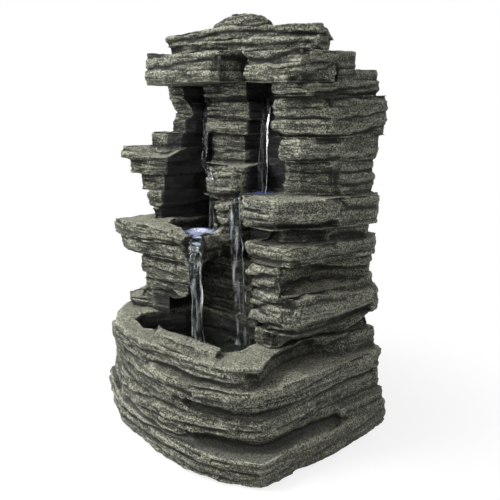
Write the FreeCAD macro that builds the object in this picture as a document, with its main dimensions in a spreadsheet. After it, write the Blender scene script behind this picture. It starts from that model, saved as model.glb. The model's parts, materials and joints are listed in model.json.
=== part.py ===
"""Indoor rock fountain: bonded rock castings, two lit pools, a pump and its water line.

Millimetres, +Z up, the front faces -Y, and the origin is on the floor under the middle.
"""
import FreeCAD, Part
import os
import Sketcher
from FreeCAD import Placement, Rotation, Vector

# Courses of stone from the floor up: each height is set by itself, and a stone spans whole courses.
COURSES = {
    "plinth": 18.5,
    "foot_course": 11.0,
    "lower_band": 13.0,
    "shadow_course": 8.0,
    "ledge_band": 11.0,
    "rim_band": 15.0,
    "cave_foot": 15.0,
    "cave_middle": 15.0,
    "cave_upper": 10.0,
    "cave_head": 8.0,
    "bowl_floor": 12.0,
    "bowl_wall": 12.0,
    "fin_foot": 10.0,
    "fin_low": 12.0,
    "pool_wall": 8.0,
    "fin_middle": 6.0,
    "fin_upper": 12.0,
    "nose_gap": 5.0,
    "fin_top": 5.0,
    "shelf_stone": 11.0,
    "slim_stone": 10.0,
    "pier_stone": 12.0,
    "header_floor": 5.0,
    "header_wall": 9.0,
    "tier_rise": 7.0,
    "block_rise": 14.0,
    "slab_lower": 9.0,
    "slab_upper": 8.0,
    "top_stone": 7.0,
}

# Lines of the plan: each stone's outline lies a number of outline steps off them.
PLAN = {
    "left_side": -100.0,
    "fin_inner": -60.0,
    "pier_left": -42.0,
    "jamb_inner": -12.0,
    "pier_right": 17.0,
    "cap_joint": 18.0,
    "column_inner": 50.0,
    "right_side": 100.0,
    "bow_front": -78.5,
    "column_front": -24.0,
    "cave_back": 8.0,
    "niche_back": 34.0,
}

SIZES = {
    "outline_step": 1.0,
    "foot_pad": 1.5,
    "foot_radius": 8.0,
    "partition": 12.0,
    "chamber_depth": 48.0,
    "rear_wall": 8.0,
    "duct_wall": 6.0,
    "rear_step": 2.5,
    "base_floor": 8.0,
    "basin_depth": 48.0,
    "slot_width": 32.0,
    "slot_height": 14.0,
    "end_gap": 6.0,
    "duct_side": 40.0,
    "trough_front_wall": 4.0,
    "trough_left_wall": 2.0,
    "trough_right_wall": 4.0,
    "left_spill_width": 14.0,
    "right_spill_width": 28.0,
    "ledge_shoulder": 8.0,
    "corner_stone": 10.0,
    "spout_lip": 3.0,
    "chute_foot": 2.0,
    "chute_drop": 2.0,
    "spill_lip": 2.0,
    "cap_setback": 8.0,
    "bump_height": 4.0,
    "bump_foot": 2.0,
    "rim_stone": 8.0,
    "hose_x": 6.0,
    "hose_inner": 4.2,
    "hose_wall": 1.8,
    "push_fit": 0.05,
    "running_fit": 0.05,
    "slip_fit": 0.3,
    "housing_length": 44.0,
    "housing_width": 36.0,
    "housing_height": 30.0,
    "housing_wall": 2.5,
    "housing_front": 3.0,
    "well_radius": 8.0,
    "well_wall": 1.3,
    "core_gap": 1.4,
    "core_height": 12.0,
    "yoke_length": 6.0,
    "coil_wall": 3.0,
    "coil_width": 17.0,
    "coil_end_gap": 4.0,
    "magnet_radius": 6.6,
    "hub_setback": 3.2,
    "shaft_radius": 1.2,
    "bush_radius": 2.6,
    "bush_length": 2.5,
    "hub_radius": 4.2,
    "vane_reach": 11.0,
    "vane_width": 8.0,
    "vane_thickness": 1.4,
    "vane_count": 6.0,
    "volute_inset": 2.0,
    "volute_wall": 2.6,
    "volute_length": 18.0,
    "volute_front": 3.0,
    "intake_radius": 1.8,
    "intake_ring": 7.5,
    "outlet_offset": 8.0,
    "outlet_bore": 2.9,
    "outlet_rise": 34.0,
    "collar_height": 22.0,
    "collar_thickness": 2.0,
    "seal_width": 1.2,
    "seal_height": 1.0,
    "strainer_length": 28.0,
    "strainer_wall": 2.0,
    "strainer_travel": 20.0,
    "strainer_slot": 2.4,
    "strainer_slot_height": 18.0,
    "dial_radius": 11.0,
    "dial_thickness": 2.0,
    "dial_pin": 2.0,
    "dial_pin_head": 3.2,
    "dial_window": 3.0,
    "dial_ring": 6.5,
    "dial_lever": 4.0,
    "strainer_clearance": 1.7,
    "cup_radius": 5.5,
    "cup_neck": 3.0,
    "cup_inset": 8.0,
    "gland_radius": 4.0,
    "gland_height": 8.0,
    "gland_bore": 2.5,
    "spout_flange": 8.0,
    "spout_flange_height": 2.5,
    "spout_body": 5.0,
    "spout_bore": 3.0,
    "spout_tail": 14.0,
    "hose_end_gap": 2.0,
    "left_light_x": -12.0,
    "left_light_y": -14.0,
    "right_light_x": 30.0,
    "right_light_y": 12.0,
    "pool_depth": 9.0,
    "light_radius": 7.0,
    "light_height": 9.0,
    "light_wall": 1.4,
    "light_floor": 2.0,
    "light_step": 1.0,
    "lens_height": 2.4,
    "board_height": 1.2,
    "chip_radius": 1.5,
    "chip_height": 1.0,
    "lead_radius": 1.2,
    "lead_bend": 7.5,
    "splice_width": 18.0,
    "splice_depth": 8.0,
    "splice_height": 16.0,
    "door_plate": 4.0,
    "door_seal": 1.0,
    "door_rebate": 6.0,
    "door_side": 34.0,
    "door_gap": 0.4,
    "pull_width": 22.0,
    "pull_height": 9.0,
    "pull_depth": 2.0,
    "grommet_radius": 5.0,
    "grommet_flange": 2.0,
    "grommet_lip": 1.5,
    "grommet_bore": 3.0,
}

INTAKE_COUNT = 6
SLOT_COUNT = 5

X_AXIS = Rotation(Vector(0, 1, 0), 90)
Y_AXIS = Rotation(Vector(1, 0, 0), -90)
Z_AXIS = Rotation()

doc = FreeCAD.newDocument("RockFountain")
sheet = doc.addObject("Spreadsheet::Sheet", "dims")
for row, (alias, number) in enumerate({**COURSES, **PLAN, **SIZES}.items(), 1):
    sheet.set(f"A{row}", alias)
    sheet.set(f"B{row}", str(number))
    sheet.setAlias(f"B{row}", alias)
doc.recompute()


class Size:
    """A length held both as a formula of the sheet and as its present value."""

    def __init__(self, formula, value):
        self.formula = formula
        self.value = value

    def __add__(self, other):
        other = as_size(other)
        return Size(f"({self.formula} + {other.formula})", self.value + other.value)

    def __radd__(self, other):
        return as_size(other) + self

    def __sub__(self, other):
        other = as_size(other)
        return Size(f"({self.formula} - {other.formula})", self.value - other.value)

    def __rsub__(self, other):
        return as_size(other) - self

    def __mul__(self, factor):
        return Size(f"({self.formula} * {factor})", self.value * factor)

    def __truediv__(self, divisor):
        return Size(f"({self.formula} / {divisor})", self.value / divisor)


def as_size(length):
    """A plain number counts outline steps."""
    if isinstance(length, Size):
        return length
    step = size("outline_step")
    return Size(f"({float(length)} * {step.formula})", float(length) * step.value)


def size(alias):
    return Size(f"dims.{alias}", float(sheet.get(alias)))


def course_tops():
    """Height of the top of each course above the floor."""
    tops = {"floor": size("foot_pad")}
    height = tops["floor"]
    for alias in COURSES:
        height = height + size(alias)
        tops[alias] = height
    return tops


top = course_tops()

left_side = size("left_side")
fin_inner = size("fin_inner")
pier_left = size("pier_left")
jamb_inner = size("jamb_inner")
pier_right = size("pier_right")
cap_joint = size("cap_joint")
column_inner = size("column_inner")
right_side = size("right_side")
bow_front = size("bow_front")
column_front = size("column_front")
cave_back = size("cave_back")
niche_back = size("niche_back")
chamber_front = cave_back + size("partition")
chamber_back = chamber_front + size("chamber_depth")
rear_face = chamber_back + size("rear_wall")
rear_side = rear_face + size("rear_step")
duct_front = niche_back + size("duct_wall")

# The pump stands in the chamber: its rotor axis runs along X, and its outlet stands under the hose.
pump_face = size("hose_x") - size("volute_length") / 2
pump_rear = pump_face - size("housing_length")
pump_back = pump_rear - size("housing_wall")
volute_radius = size("housing_width") / 2 - size("volute_inset")
strainer_half_width = volute_radius + size("slip_fit") + size("strainer_wall")
axis_y = chamber_back - strainer_half_width - size("slip_fit")
hose_y = axis_y + size("outlet_offset")
chamber_floor = top["floor"] + size("base_floor")
basin_floor = top["rim_band"] - size("basin_depth")
axis_z = chamber_floor + size("strainer_clearance") + strainer_half_width
housing_bottom = axis_z - size("housing_height") / 2
yoke_rear = pump_rear + size("coil_end_gap") + size("coil_wall")
yoke_front = yoke_rear + size("yoke_length")
well_end = yoke_front + size("coil_wall") + size("slip_fit") * 2 + size("well_wall")
well_depth = pump_face - well_end
chamber_left = pump_back - size("end_gap")
chamber_right = (pump_face + size("strainer_length") + size("dial_thickness") + size("slip_fit")
                 + size("strainer_travel") + size("end_gap"))
duct_left = size("hose_x") - size("duct_side")
duct_right = size("hose_x") + size("duct_side")
duct_top = top["slim_stone"]
hose_outer = size("hose_inner") + size("hose_wall")
left_floor = top["bowl_floor"]
right_floor = top["pool_wall"] - size("pool_depth")
lead_drop = size("light_height") / 2

sub_parts = []


def keep(item, label):
    """Mark an object as one of the fountain's pieces."""
    item.Label = label
    sub_parts.append(item)
    return item


def bind(item, name, length):
    item.setExpression(name, as_size(length).formula)


def locate(item, x, y, z, rotation=Z_AXIS):
    item.Placement = Placement(Vector(), rotation)
    bind(item, "Placement.Base.x", x)
    bind(item, "Placement.Base.y", y)
    bind(item, "Placement.Base.z", z)


def new_body(label):
    return keep(doc.addObject("PartDesign::Body", label), label)


def origin_item(body, role):
    return next(item for item in body.Origin.OriginFeatures if item.Role == role)


def outline_sketch(body, name, height, points):
    """A closed outline of straight edges at one height, each corner bound to the sheet."""
    sketch = body.newObject("Sketcher::SketchObject", name)
    sketch.AttachmentSupport = (origin_item(body, "XY_Plane"), [""])
    sketch.MapMode = "FlatFace"
    bind(sketch, "AttachmentOffset.Base.z", height)
    corners = [(as_size(x), as_size(y)) for x, y in points]
    places = [Vector(x.value, y.value, 0) for x, y in corners]
    for start, end in zip(places, places[1:] + places[:1]):
        sketch.addGeometry(Part.LineSegment(start, end))
    count = len(corners)
    for index in range(count):
        following = (index + 1) % count
        sketch.addConstraint(Sketcher.Constraint("Coincident", index, 2, following, 1))
    for index, corner in enumerate(corners):
        for direction, length in zip(("DistanceX", "DistanceY"), corner):
            constraint = Sketcher.Constraint(direction, -1, 1, index, 1, length.value)
            number = sketch.addConstraint(constraint)
            bind(sketch, f"Constraints[{number}]", length)
    return sketch


def prism(body, name, bottom, crest, points):
    """An upright prism with an irregular outline, between two heights."""
    sketch = outline_sketch(body, f"{body.Label}_{name}_outline", bottom, points)
    pad = body.newObject("PartDesign::Pad", f"{body.Label}_{name}")
    pad.Profile = sketch
    bind(pad, "Length", crest - bottom)
    return pad


def hollow(body, name, crest, floor, points):
    """A pocket with an irregular outline, sunk from one height to a floor."""
    sketch = outline_sketch(body, f"{body.Label}_{name}_outline", crest, points)
    pocket = body.newObject("PartDesign::Pocket", f"{body.Label}_{name}")
    pocket.Profile = sketch
    bind(pocket, "Length", crest - floor)
    return pocket


def square_cut(body, name, low, high):
    """A box-shaped cut between two opposite corners."""
    item = body.newObject("PartDesign::SubtractiveBox", f"{body.Label}_{name}")
    for side, start, end in zip(("Length", "Width", "Height"), low, high):
        bind(item, side, end - start)
    locate(item, *low)
    return item


def round_cut(body, name, radius, length, place, rotation=Z_AXIS):
    item = body.newObject("PartDesign::SubtractiveCylinder", f"{body.Label}_{name}")
    bind(item, "Radius", radius)
    bind(item, "Height", length)
    locate(item, *place, rotation)
    return item


def box(name, low, high):
    item = doc.addObject("Part::Box", name)
    for side, start, end in zip(("Length", "Width", "Height"), low, high):
        bind(item, side, end - start)
    locate(item, *low)
    return item


def cylinder(name, radius, length, place, rotation=Z_AXIS):
    item = doc.addObject("Part::Cylinder", name)
    bind(item, "Radius", radius)
    bind(item, "Height", length)
    locate(item, *place, rotation)
    return item


def fuse(name, *items):
    item = doc.addObject("Part::MultiFuse", name)
    item.Shapes = list(items)
    return item


def cut(name, base, *tools):
    item = doc.addObject("Part::Cut", name)
    item.Base = base
    item.Tool = tools[0] if len(tools) == 1 else fuse(f"{name}_tools", *tools)
    return item


def ring(name, outer, inner, length, place, rotation=Z_AXIS):
    solid = cylinder(f"{name}_solid", outer, length, place, rotation)
    bore = cylinder(f"{name}_bore", inner, length, place, rotation)
    return cut(name, solid, bore)


def basin_casting():
    """The bow-fronted base: the open bowl in front and the pump chamber behind it."""
    body = new_body("basin_casting")
    prism(body, "plinth", top["floor"], top["plinth"], [
        (left_side, bow_front + 32), (left_side + 33, bow_front + 19), (left_side + 63, bow_front + 8),
        (left_side + 93, bow_front + 3), (right_side - 72, bow_front), (right_side - 43, bow_front + 5),
        (right_side - 21, bow_front + 13), (right_side - 1, bow_front + 24),
        (right_side - 2, column_front + 4), (right_side, cave_back - 4),
        (right_side - 1, niche_back + 12), (right_side - 5, rear_side),
        (right_side - 60, rear_side - 1), (left_side + 60, rear_side), (left_side + 6, rear_side - 3),
        (left_side, niche_back), (left_side + 2, cave_back - 10),
    ])
    prism(body, "plinth_rear_stone", top["plinth"], top["plinth"] + size("corner_stone"), [
        (column_inner + 10, cave_back + 14), (right_side - 2, cave_back + 16),
        (right_side - 1, rear_face - 6), (right_side - 7, rear_face + 1),
        (column_inner + 10, rear_face + 1),
    ])
    prism(body, "foot_course", top["plinth"], top["foot_course"], [
        (left_side + 9, bow_front + 35), (left_side + 36, bow_front + 24),
        (left_side + 64, bow_front + 12), (left_side + 94, bow_front + 6),
        (right_side - 70, bow_front + 4), (right_side - 51, bow_front + 7),
        (right_side - 45, bow_front + 14), (right_side - 25, bow_front + 23),
        (right_side - 14, bow_front + 34), (right_side - 11, bow_front + 42),
        (right_side - 11, cave_back - 6), (right_side - 8, cave_back + 6),
        (right_side - 7, rear_face - 2), (left_side + 8, rear_face - 2), (left_side + 5, niche_back),
        (left_side + 7, cave_back - 10),
    ])
    prism(body, "lower_band", top["foot_course"], top["lower_band"], [
        (left_side + 8, bow_front + 34), (left_side + 35, bow_front + 23),
        (left_side + 64, bow_front + 11), (left_side + 94, bow_front + 5),
        (right_side - 72, bow_front + 3), (right_side - 44, bow_front + 8),
        (right_side - 22, bow_front + 17), (right_side - 8, bow_front + 27),
        (right_side - 4, bow_front + 40), (right_side - 4, cave_back - 8), (right_side - 8, cave_back),
        (right_side - 7, rear_face - 2), (left_side + 8, rear_face - 2), (left_side + 3, niche_back),
        (left_side + 5, cave_back - 10),
    ])
    prism(body, "shadow_course", top["lower_band"], top["shadow_course"], [
        (left_side + 5, bow_front + 33), (left_side + 36, bow_front + 21),
        (left_side + 64, bow_front + 11), (left_side + 94, bow_front + 5),
        (right_side - 72, bow_front + 3), (right_side - 60, bow_front + 5),
        (right_side - 57, bow_front + 10), (right_side - 42, bow_front + 13),
        (right_side - 25, bow_front + 21), (right_side - 14, bow_front + 31),
        (right_side - 8, column_front - 1), (right_side - 7, cave_back + 4),
        (right_side - 8, rear_face - 2), (left_side + 8, rear_face - 2), (left_side + 3, niche_back),
        (left_side + 5, cave_back - 10),
    ])
    prism(body, "ledge_band", top["shadow_course"], top["ledge_band"], [
        (left_side + 3, bow_front + 32), (left_side + 36, bow_front + 20),
        (left_side + 64, bow_front + 10), (left_side + 94, bow_front + 4),
        (right_side - 72, bow_front + 2), (right_side - 45, bow_front + 6),
        (right_side - 24, bow_front + 15), (right_side - 12, bow_front + 28),
        (right_side - 5, column_front - 1), (right_side - 5, rear_face - 18),
        (right_side - 10, rear_face), (left_side + 8, rear_face), (left_side + 3, niche_back + 6),
        (left_side + 4, cave_back - 12),
    ])
    prism(body, "rim_band", top["ledge_band"], top["rim_band"], [
        (left_side + 7, bow_front + 47), (left_side + 15, bow_front + 36),
        (left_side + 26, bow_front + 26), (left_side + 46, bow_front + 12),
        (left_side + 70, bow_front + 6), (left_side + 96, bow_front + 4),
        (right_side - 76, bow_front + 6), (right_side - 50, bow_front + 9),
        (right_side - 32, bow_front + 15), (right_side - 22, bow_front + 23),
        (right_side - 14, bow_front + 35), (right_side - 23, column_front + 2),
        (right_side - 27, cave_back - 14), (right_side - 26, cave_back + 10),
        (right_side - 17, niche_back + 8),
        (right_side - 14, rear_face - 2), (left_side + 10, rear_face - 2), (left_side + 5, niche_back),
        (left_side + 6, cave_back - 10),
    ])
    prism(body, "rim_bump", top["rim_band"], top["rim_band"] + size("bump_height"), [
        (left_side + 87, bow_front + 26), (left_side + 100, bow_front + 24),
        (right_side - 78, bow_front + 28), (right_side - 60, bow_front + 29),
        (right_side - 47, bow_front + 30), (right_side - 44, bow_front + 22),
        (right_side - 78, bow_front + 15), (left_side + 92, bow_front + 16),
    ])
    prism(body, "rim_bump_foot", top["rim_band"], top["rim_band"] + size("bump_foot"), [
        (left_side + 92, bow_front + 16), (right_side - 78, bow_front + 16),
        (right_side - 44, bow_front + 23), (right_side - 40, bow_front + 17),
        (right_side - 58, bow_front + 11), (right_side - 80, bow_front + 8),
        (left_side + 100, bow_front + 11),
    ])
    hollow(body, "bowl", top["rim_band"] + size("bump_height"), basin_floor, [
        (left_side + 42, bow_front + 38), (left_side + 50, bow_front + 26),
        (left_side + 74, bow_front + 20), (left_side + 90, bow_front + 27),
        (right_side - 78, bow_front + 31), (right_side - 60, bow_front + 30),
        (column_inner + 1, bow_front + 36), (column_inner + 4, bow_front + 46),
        (column_inner + 1, column_front + 14), (column_inner, cave_back), (pier_left, cave_back),
        (pier_left, column_front + 16), (left_side + 46, column_front),
    ])
    square_cut(body, "pump_chamber", (chamber_left, chamber_front, chamber_floor),
               (chamber_right, chamber_back, top["rim_band"] + size("bump_height")))
    square_cut(body, "partition_seat", (pier_left, cave_back, basin_floor),
               (column_inner, chamber_front, top["rim_band"]))


def bowl_partition():
    """The upright stone set between the bowl and the pump chamber, with the water slot at its foot."""
    body = new_body("bowl_partition")
    prism(body, "wall", basin_floor, top["rim_band"], [
        (pier_left, cave_back), (column_inner, cave_back),
        (column_inner, chamber_front), (pier_left, chamber_front),
    ])
    slot_left = size("hose_x") - size("slot_width") / 2
    square_cut(body, "flow_slot", (slot_left, cave_back, basin_floor),
               (slot_left + size("slot_width"), chamber_front, basin_floor + size("slot_height")))


def back_wall_casting():
    """The rear of the tower, with the hose duct inside and the header trough on top."""
    body = new_body("back_wall_casting")
    prism(body, "cave_wall", top["rim_band"], top["cave_middle"], [
        (left_side + 6, niche_back), (pier_left, niche_back), (pier_left, cave_back),
        (column_inner, cave_back), (column_inner, rear_face), (pier_left + 8, rear_face),
        (pier_left + 4, rear_face + 3), (fin_inner - 10, rear_face + 2), (left_side + 8, rear_face - 4),
    ])
    prism(body, "cave_crest", top["cave_middle"], top["cave_head"], [
        (left_side + 9, niche_back), (pier_left, niche_back), (pier_left, cave_back),
        (column_inner, cave_back), (column_inner, rear_face), (pier_left + 6, rear_face),
        (pier_left + 1, rear_face - 3), (left_side + 16, rear_face - 5), (left_side + 11, rear_face - 11),
    ])
    prism(body, "middle_wall", top["cave_head"], top["fin_foot"], [
        (left_side + 8, niche_back), (pier_right, niche_back), (pier_right, cave_back),
        (column_inner, cave_back), (column_inner, rear_face), (pier_left + 8, rear_face),
        (pier_left + 2, rear_face + 3), (fin_inner - 8, rear_face + 1), (left_side + 9, rear_face - 5),
    ])
    prism(body, "upper_wall", top["fin_foot"], top["fin_middle"], [
        (left_side + 11, niche_back), (column_inner, niche_back), (column_inner, rear_face + 2),
        (pier_right + 5, rear_face + 2), (pier_right + 1, rear_face - 1), (jamb_inner + 6, rear_face - 1),
        (jamb_inner + 2, rear_face + 3), (fin_inner + 4, rear_face + 1), (left_side + 12, rear_face - 6),
    ])
    prism(body, "shoulder_wall", top["fin_middle"], top["shelf_stone"], [
        (left_side + 14, niche_back), (column_inner, niche_back), (column_inner, rear_face - 2),
        (pier_right - 7, rear_face - 2), (pier_right - 13, rear_face + 1), (fin_inner + 4, rear_face + 1),
        (fin_inner - 6, rear_face - 3), (left_side + 15, rear_face - 8),
    ])
    prism(body, "head_wall", top["shelf_stone"], top["pier_stone"], [
        (left_side + 13, niche_back), (column_inner, niche_back), (column_inner, rear_face + 2),
        (jamb_inner + 4, rear_face + 2), (jamb_inner - 1, rear_face - 2), (fin_inner + 6, rear_face - 2),
        (left_side + 14, rear_face - 7),
    ])
    prism(body, "header_course", top["pier_stone"], top["header_wall"], [
        (left_side + 16, niche_back), (column_inner, niche_back), (column_inner, rear_face - 2),
        (jamb_inner + 12, rear_face - 2), (jamb_inner + 7, rear_face + 1), (fin_inner + 6, rear_face + 1),
        (left_side + 18, rear_face - 6),
    ])
    square_cut(body, "hose_duct", (duct_left, duct_front, top["rim_band"]),
               (duct_right, chamber_back, duct_top))
    trough_front = niche_back + size("trough_front_wall")
    trough_left = fin_inner + size("trough_left_wall")
    trough_right = column_inner - size("trough_right_wall")
    square_cut(body, "header_trough", (trough_left, trough_front, top["pier_stone"]),
               (trough_right, hose_y + size("spout_flange") + size("slip_fit"), top["header_wall"]))
    square_cut(body, "left_spill", (trough_left, niche_back, top["header_floor"]),
               (trough_left + size("left_spill_width"), trough_front, top["header_wall"]))
    right_spill = trough_right - size("right_spill_width")
    square_cut(body, "right_spill", (right_spill, niche_back, top["header_floor"]),
               (trough_right, trough_front, top["header_wall"]))
    round_cut(body, "spout_hole", size("spout_body") + size("push_fit"), top["pier_stone"] - duct_top,
              (size("hose_x"), hose_y, duct_top))
    for side, x, floor in light_places():
        round_cut(body, f"{side}_lead_hole", size("lead_radius") + size("slip_fit"), size("duct_wall"),
                  (x, niche_back, floor - lead_drop), Y_AXIS)
    low, high = door_opening(as_size(0))
    square_cut(body, "door_rebate", (low[0], door_step(), low[1]), (high[0], rear_face, high[1]))
    low, high = door_opening(size("door_rebate"))
    square_cut(body, "door_way", (low[0], chamber_back, low[1]), (high[0], door_step(), high[1]))
    round_cut(body, "grommet_hole", size("grommet_radius") + size("push_fit"), size("rear_wall"),
              (size("hose_x"), chamber_back, grommet_height()), Y_AXIS)


def light_places():
    """Each pool light: its side, its X place and the height of the pool floor it is sunk in."""
    return (("left", size("left_light_x"), left_floor), ("right", size("right_light_x"), right_floor))


def door_step():
    """The plane that the door's seal presses on, inside the rear face."""
    return rear_face - size("door_plate") - size("door_seal")


def door_opening(inset):
    """Low and high corners, in X and Z, of the rear door's rebate drawn in by an inset."""
    low = (size("hose_x") - size("door_side") + inset, top["rim_band"] + size("door_rebate") + inset)
    high = (size("hose_x") + size("door_side") - inset, top["bowl_wall"] - size("door_rebate") - inset)
    return low, high


def grommet_height():
    return top["bowl_wall"] + size("grommet_radius") + size("grommet_flange")


def right_column_casting():
    """The stacked ledges on the right of the niche."""
    body = new_body("right_column_casting")
    prism(body, "foot_stone", top["rim_band"], top["cave_foot"], [
        (column_inner + 2, column_front + 5), (column_inner + 18, column_front + 4),
        (right_side - 28, column_front + 9), (right_side - 30, cave_back - 8),
        (right_side - 26, niche_back - 6), (right_side - 18, niche_back + 14),
        (right_side - 18, rear_face - 4), (column_inner, rear_face - 2), (column_inner, column_front + 14),
    ])
    shoulder = top["cave_upper"] - size("ledge_shoulder")
    prism(body, "big_ledge", top["cave_foot"], shoulder, [
        (column_inner + 1, column_front), (column_inner + 20, column_front - 3),
        (right_side - 14, column_front - 1), (right_side - 5, column_front + 7),
        (right_side - 2, cave_back + 10), (right_side - 5, rear_face - 10),
        (right_side - 16, rear_face - 1), (column_inner, rear_face - 1),
    ])
    prism(body, "big_ledge_shoulder", shoulder, top["cave_upper"], [
        (column_inner + 1, column_front), (column_inner + 20, column_front - 3),
        (right_side - 16, column_front - 1), (right_side - 13, column_front + 8),
        (right_side - 11, cave_back + 10), (right_side - 12, rear_face - 12),
        (right_side - 18, rear_face - 2), (column_inner, rear_face - 2),
    ])
    prism(body, "tall_block", top["cave_upper"], top["bowl_floor"], [
        (column_inner + 1, column_front), (column_inner + 10, column_front - 2),
        (right_side - 18, column_front - 1), (right_side - 20, column_front + 12),
        (right_side - 25, cave_back - 4), (right_side - 27, cave_back + 18),
        (right_side - 20, niche_back + 8), (right_side - 10, rear_face - 18),
        (right_side - 20, rear_face - 4), (column_inner, rear_face - 4),
    ])
    prism(body, "wavy_stone", top["bowl_floor"], top["bowl_wall"], [
        (column_inner - 5, column_front + 3), (column_inner + 3, column_front + 2),
        (right_side - 12, column_front + 3), (right_side - 7, cave_back - 4),
        (right_side - 6, rear_face - 18), (right_side - 16, rear_face - 3),
        (column_inner, rear_face - 3), (column_inner, cave_back),
    ])
    prism(body, "shadow_gap", top["bowl_wall"], top["fin_foot"], [
        (column_inner + 3, column_front + 10), (right_side - 22, column_front + 11),
        (right_side - 14, cave_back - 8), (right_side - 12, rear_face - 20),
        (right_side - 22, rear_face - 6), (column_inner, rear_face - 6), (column_inner, cave_back),
    ])
    prism(body, "pool_ledge", top["fin_foot"], top["pool_wall"], [
        (column_inner - 6, column_front + 1), (column_inner + 10, column_front - 1),
        (right_side - 25, column_front + 1), (right_side - 6, cave_back - 2),
        (right_side - 5, rear_face - 19), (right_side - 14, rear_face - 4),
        (column_inner, rear_face - 2), (column_inner, niche_back), (column_inner - 6, niche_back - 14),
    ])
    prism(body, "set_back_stone", top["pool_wall"], top["nose_gap"], [
        (column_inner + 12, cave_back - 5), (column_inner + 21, cave_back - 5),
        (right_side - 12, cave_back + 11), (right_side - 11, rear_face - 15),
        (right_side - 20, rear_face - 5), (column_inner, rear_face - 4), (column_inner, cave_back + 4),
    ])
    prism(body, "middle_ledge", top["nose_gap"], top["shelf_stone"], [
        (column_inner + 10, cave_back - 10), (column_inner + 27, cave_back - 11),
        (right_side - 11, cave_back + 12), (right_side - 9, niche_back + 10),
        (right_side - 10, rear_face - 14), (right_side - 20, rear_face - 4),
        (column_inner, rear_face - 3), (column_inner, cave_back),
    ])
    prism(body, "upper_ledge", top["shelf_stone"], top["header_floor"], [
        (column_inner + 1, cave_back - 11), (column_inner + 13, cave_back - 12),
        (column_inner + 30, cave_back - 4), (right_side - 8, cave_back + 4),
        (right_side - 7, rear_face - 10), (right_side - 16, rear_face - 2),
        (column_inner, rear_face - 2), (column_inner, cave_back),
    ])


def left_wing_casting():
    """The thin fin on the left of the niche, wide at its shelf and tapering to its foot."""
    body = new_body("left_wing_casting")
    prism(body, "fin_foot", top["bowl_wall"], top["fin_foot"], [
        (fin_inner - 9, cave_back - 28), (fin_inner - 2, cave_back - 24), (fin_inner, cave_back - 8),
        (fin_inner, niche_back), (left_side + 16, niche_back), (left_side + 16, cave_back - 8),
        (left_side + 24, cave_back - 20),
    ])
    prism(body, "fin_low", top["fin_foot"], top["fin_low"], [
        (fin_inner - 14, cave_back - 28), (fin_inner - 1, cave_back - 23), (fin_inner, niche_back),
        (left_side + 14, niche_back), (left_side + 13, cave_back - 8), (left_side + 20, cave_back - 20),
    ])
    prism(body, "fin_middle", top["fin_low"], top["fin_middle"], [
        (fin_inner - 22, cave_back - 30), (fin_inner, cave_back - 21), (fin_inner, niche_back),
        (left_side + 12, niche_back), (left_side + 10, cave_back - 8), (left_side + 13, cave_back - 20),
    ])
    prism(body, "fin_upper", top["fin_middle"], top["fin_upper"], [
        (fin_inner - 29, cave_back - 34), (fin_inner - 12, cave_back - 30),
        (fin_inner + 3, cave_back - 20), (fin_inner + 3, niche_back), (left_side + 10, niche_back),
        (left_side + 7, cave_back - 8), (left_side + 7, cave_back - 23),
    ])
    prism(body, "fin_shelf", top["fin_upper"], top["fin_top"], [
        (fin_inner - 35, cave_back - 37), (fin_inner - 16, cave_back - 33),
        (fin_inner + 4, cave_back - 20), (fin_inner + 4, niche_back), (left_side + 8, niche_back),
        (left_side + 4, cave_back - 8), (left_side + 3, cave_back - 26),
    ])
    prism(body, "shelf_stone", top["fin_top"], top["shelf_stone"], [
        (fin_inner - 28, cave_back - 15), (fin_inner - 6, cave_back - 13),
        (fin_inner + 2, cave_back - 4), (fin_inner + 2, niche_back), (left_side + 10, niche_back),
        (left_side + 8, cave_back),
    ])
    prism(body, "slim_stone", top["shelf_stone"], top["slim_stone"], [
        (fin_inner - 17, cave_back - 3), (fin_inner, cave_back - 2), (fin_inner + 4, cave_back + 6),
        (fin_inner + 4, niche_back), (left_side + 16, niche_back), (left_side + 16, cave_back + 6),
    ])
    prism(body, "lower_lump", top["slim_stone"], top["pier_stone"], [
        (fin_inner - 22, cave_back - 1), (fin_inner - 10, cave_back - 3), (fin_inner + 2, cave_back),
        (fin_inner + 6, cave_back + 8), (fin_inner + 6, niche_back), (left_side + 14, niche_back),
        (left_side + 13, cave_back + 6),
    ])
    prism(body, "upper_lump", top["pier_stone"], top["header_wall"], [
        (fin_inner - 20, cave_back - 2), (fin_inner - 8, cave_back - 4), (fin_inner + 3, cave_back - 2),
        (fin_inner + 4, cave_back + 12), (fin_inner + 4, niche_back), (left_side + 14, niche_back),
        (left_side + 14, cave_back + 6),
    ])


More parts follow.
